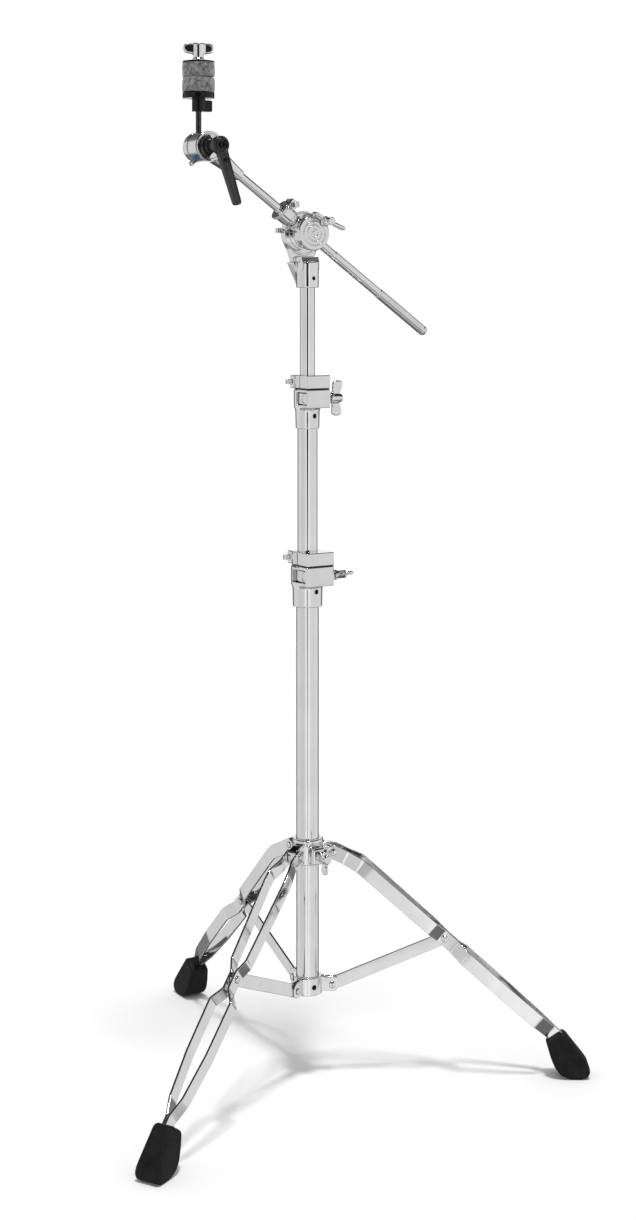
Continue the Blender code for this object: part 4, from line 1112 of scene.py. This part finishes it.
def make_studio():
    """White surroundings, and for mirror reflections a studio of light panels: a bright band
    round the horizon, a thin dark gap in front and darker corners behind."""
    world = bpy.data.worlds.new("studio")
    bpy.context.scene.world = world
    world.use_nodes = True
    tree = world.node_tree
    tree.nodes.clear()

    def add(kind, operation=None, **inputs):
        node = tree.nodes.new(kind)
        if operation:
            node.operation = operation
        for name, value in inputs.items():
            numbered = name[0] == "i" and name[1:].isdigit()
            target = node.inputs[int(name[1:]) if numbered else name]
            if isinstance(value, (int, float, tuple)):
                target.default_value = value
            else:
                tree.links.new(value, target)
        return node

    def ramp(source, stops):
        node = add("ShaderNodeValToRGB", Fac=source)
        set_ramp(node.color_ramp.elements, stops)
        return node.outputs["Color"]

    def degrees(radians):
        return add("ShaderNodeMath", "MULTIPLY", i0=radians, i1=180.0 / math.pi).outputs[0]

    def spread(angle, limit):
        """An angle in degrees as a ramp position, -limit to limit."""
        node = add("ShaderNodeMapRange", Value=angle)
        node.inputs["From Min"].default_value = -limit
        node.inputs["From Max"].default_value = limit
        return node.outputs[0]

    def ramp_over(angle, limit, stops):
        return ramp(spread(angle, limit), [(0.5 + at / (2 * limit), grey) for at, grey in stops])

    direction = add("ShaderNodeTexCoord").outputs["Generated"]
    parts = add("ShaderNodeSeparateXYZ", Vector=direction)
    front = add("ShaderNodeMath", "MULTIPLY", i0=parts.outputs["Y"], i1=-1.0).outputs[0]
    azimuth = degrees(add("ShaderNodeMath", "ARCTAN2", i0=parts.outputs["X"], i1=front).outputs[0])
    height = degrees(add("ShaderNodeMath", "ARCSINE", i0=parts.outputs["Z"]).outputs[0])
    panels = ramp_over(azimuth, 180.0, [
        (-180, 0.95), (-174, 0.90), (-168, 0.12), (-133, 0.18), (-127, 0.70), (-100, 0.76),
        (-60, 0.66), (-24, 0.70), (-17, 1.0), (17, 1.0), (24, 0.80), (60, 0.74), (100, 0.80),
        (127, 0.74), (133, 0.22), (168, 0.12), (174, 0.90), (180, 0.95)])
    band = ramp_over(height, 90.0, [
        (-90, 0.40), (-66, 0.42), (-62, 1.0), (-58, 1.0), (-54, 0.45), (-45, 0.20), (-40, 0.20),
        (-36, 1.0), (-28, 1.0), (25, 1.0), (29, 0.60), (33, 0.05), (72, 0.04), (79, 0.95), (90, 1.0)])
    gap_width = ramp_over(height, 30.0, [
        (-30, 0.05), (-12, 0.06), (-6, 0.075), (-2.5, 0.10), (1.5, 0.11), (3, 0.12), (5, 0.24),
        (14, 0.24), (20, 0.05), (30, 0.05)])
    gap_depth = ramp_over(height, 30.0, [(-30, 0.08), (-20, 0.15), (-15, 0.40), (-11, 0.58),
                                         (-7, 0.85), (-4.5, 0.98), (20, 0.98), (30, 0.6)])
    beside = add("ShaderNodeMath", "ABSOLUTE", i0=azimuth).outputs[0]
    edge = add("ShaderNodeMath", "MULTIPLY", i0=gap_width, i1=100.0).outputs[0]
    past = add("ShaderNodeMath", "SUBTRACT", i0=beside, i1=edge).outputs[0]
    outside = add("ShaderNodeMapRange", Value=past)
    outside.inputs["From Min"].default_value = 0.0
    outside.inputs["From Max"].default_value = 1.0
    inside = add("ShaderNodeMath", "SUBTRACT", i0=1.0, i1=outside.outputs[0]).outputs[0]
    lost = add("ShaderNodeMath", "MULTIPLY", i0=inside, i1=gap_depth).outputs[0]
    kept = add("ShaderNodeMath", "SUBTRACT", i0=1.0, i1=lost).outputs[0]
    studio = add("ShaderNodeMix")
    studio.data_type = "RGBA"
    studio.blend_type = "MULTIPLY"
    studio.inputs["Factor"].default_value = 1.0
    tree.links.new(panels, studio.inputs[6])
    tree.links.new(band, studio.inputs[7])
    rays = add("ShaderNodeLightPath")
    mirror = add("ShaderNodeBackground", Color=studio.outputs[2], Strength=kept)
    soft = add("ShaderNodeBackground", Color=(1.0, 1.0, 1.0, 1.0), Strength=0.57)
    seen = add("ShaderNodeBackground", Color=(1.0, 1.0, 1.0, 1.0), Strength=1.05)
    lit = add("ShaderNodeMixShader", Fac=rays.outputs["Is Glossy Ray"])
    tree.links.new(soft.outputs[0], lit.inputs[1])
    tree.links.new(mirror.outputs[0], lit.inputs[2])
    whole = add("ShaderNodeMixShader", Fac=rays.outputs["Is Camera Ray"])
    tree.links.new(lit.outputs[0], whole.inputs[1])
    tree.links.new(seen.outputs[0], whole.inputs[2])
    output = add("ShaderNodeOutputWorld")
    tree.links.new(whole.outputs[0], output.inputs["Surface"])


def make_camera():
    """A long lens held level with the upper clamp."""
    camera = bpy.data.cameras.new("camera")
    camera.sensor_width = 36.0
    camera.lens = 59.1
    camera.shift_y = -0.24
    made = bpy.data.objects.new("camera", camera)
    bpy.context.scene.collection.objects.link(made)
    distance, height, aside, down = 2527.6, 1011.1, 13.3, 1.07
    made.location = (AXIS + Vector((aside, -distance, height))) * MM
    made.rotation_euler = (math.radians(90.0 - down), 0.0, 0.0)
    bpy.context.scene.camera = made
    bpy.context.scene.view_settings.view_transform = "Standard"


# ---------------------------------------------------------------- the whole stand

make_camera()
make_light()
make_studio()
make_floor()
make_tubes()
for leg in LETTERS:
    make_leg(leg)
make_feet()
make_braces()
make_lower_collar()
make_hub()
make_height_sections()
make_yoke()
make_tilter()
make_boom_lock()
make_boom()
make_boom_head()
make_cymbal_tilter()
make_seat()
make_felts()
make_wing_nut()
make_lever()
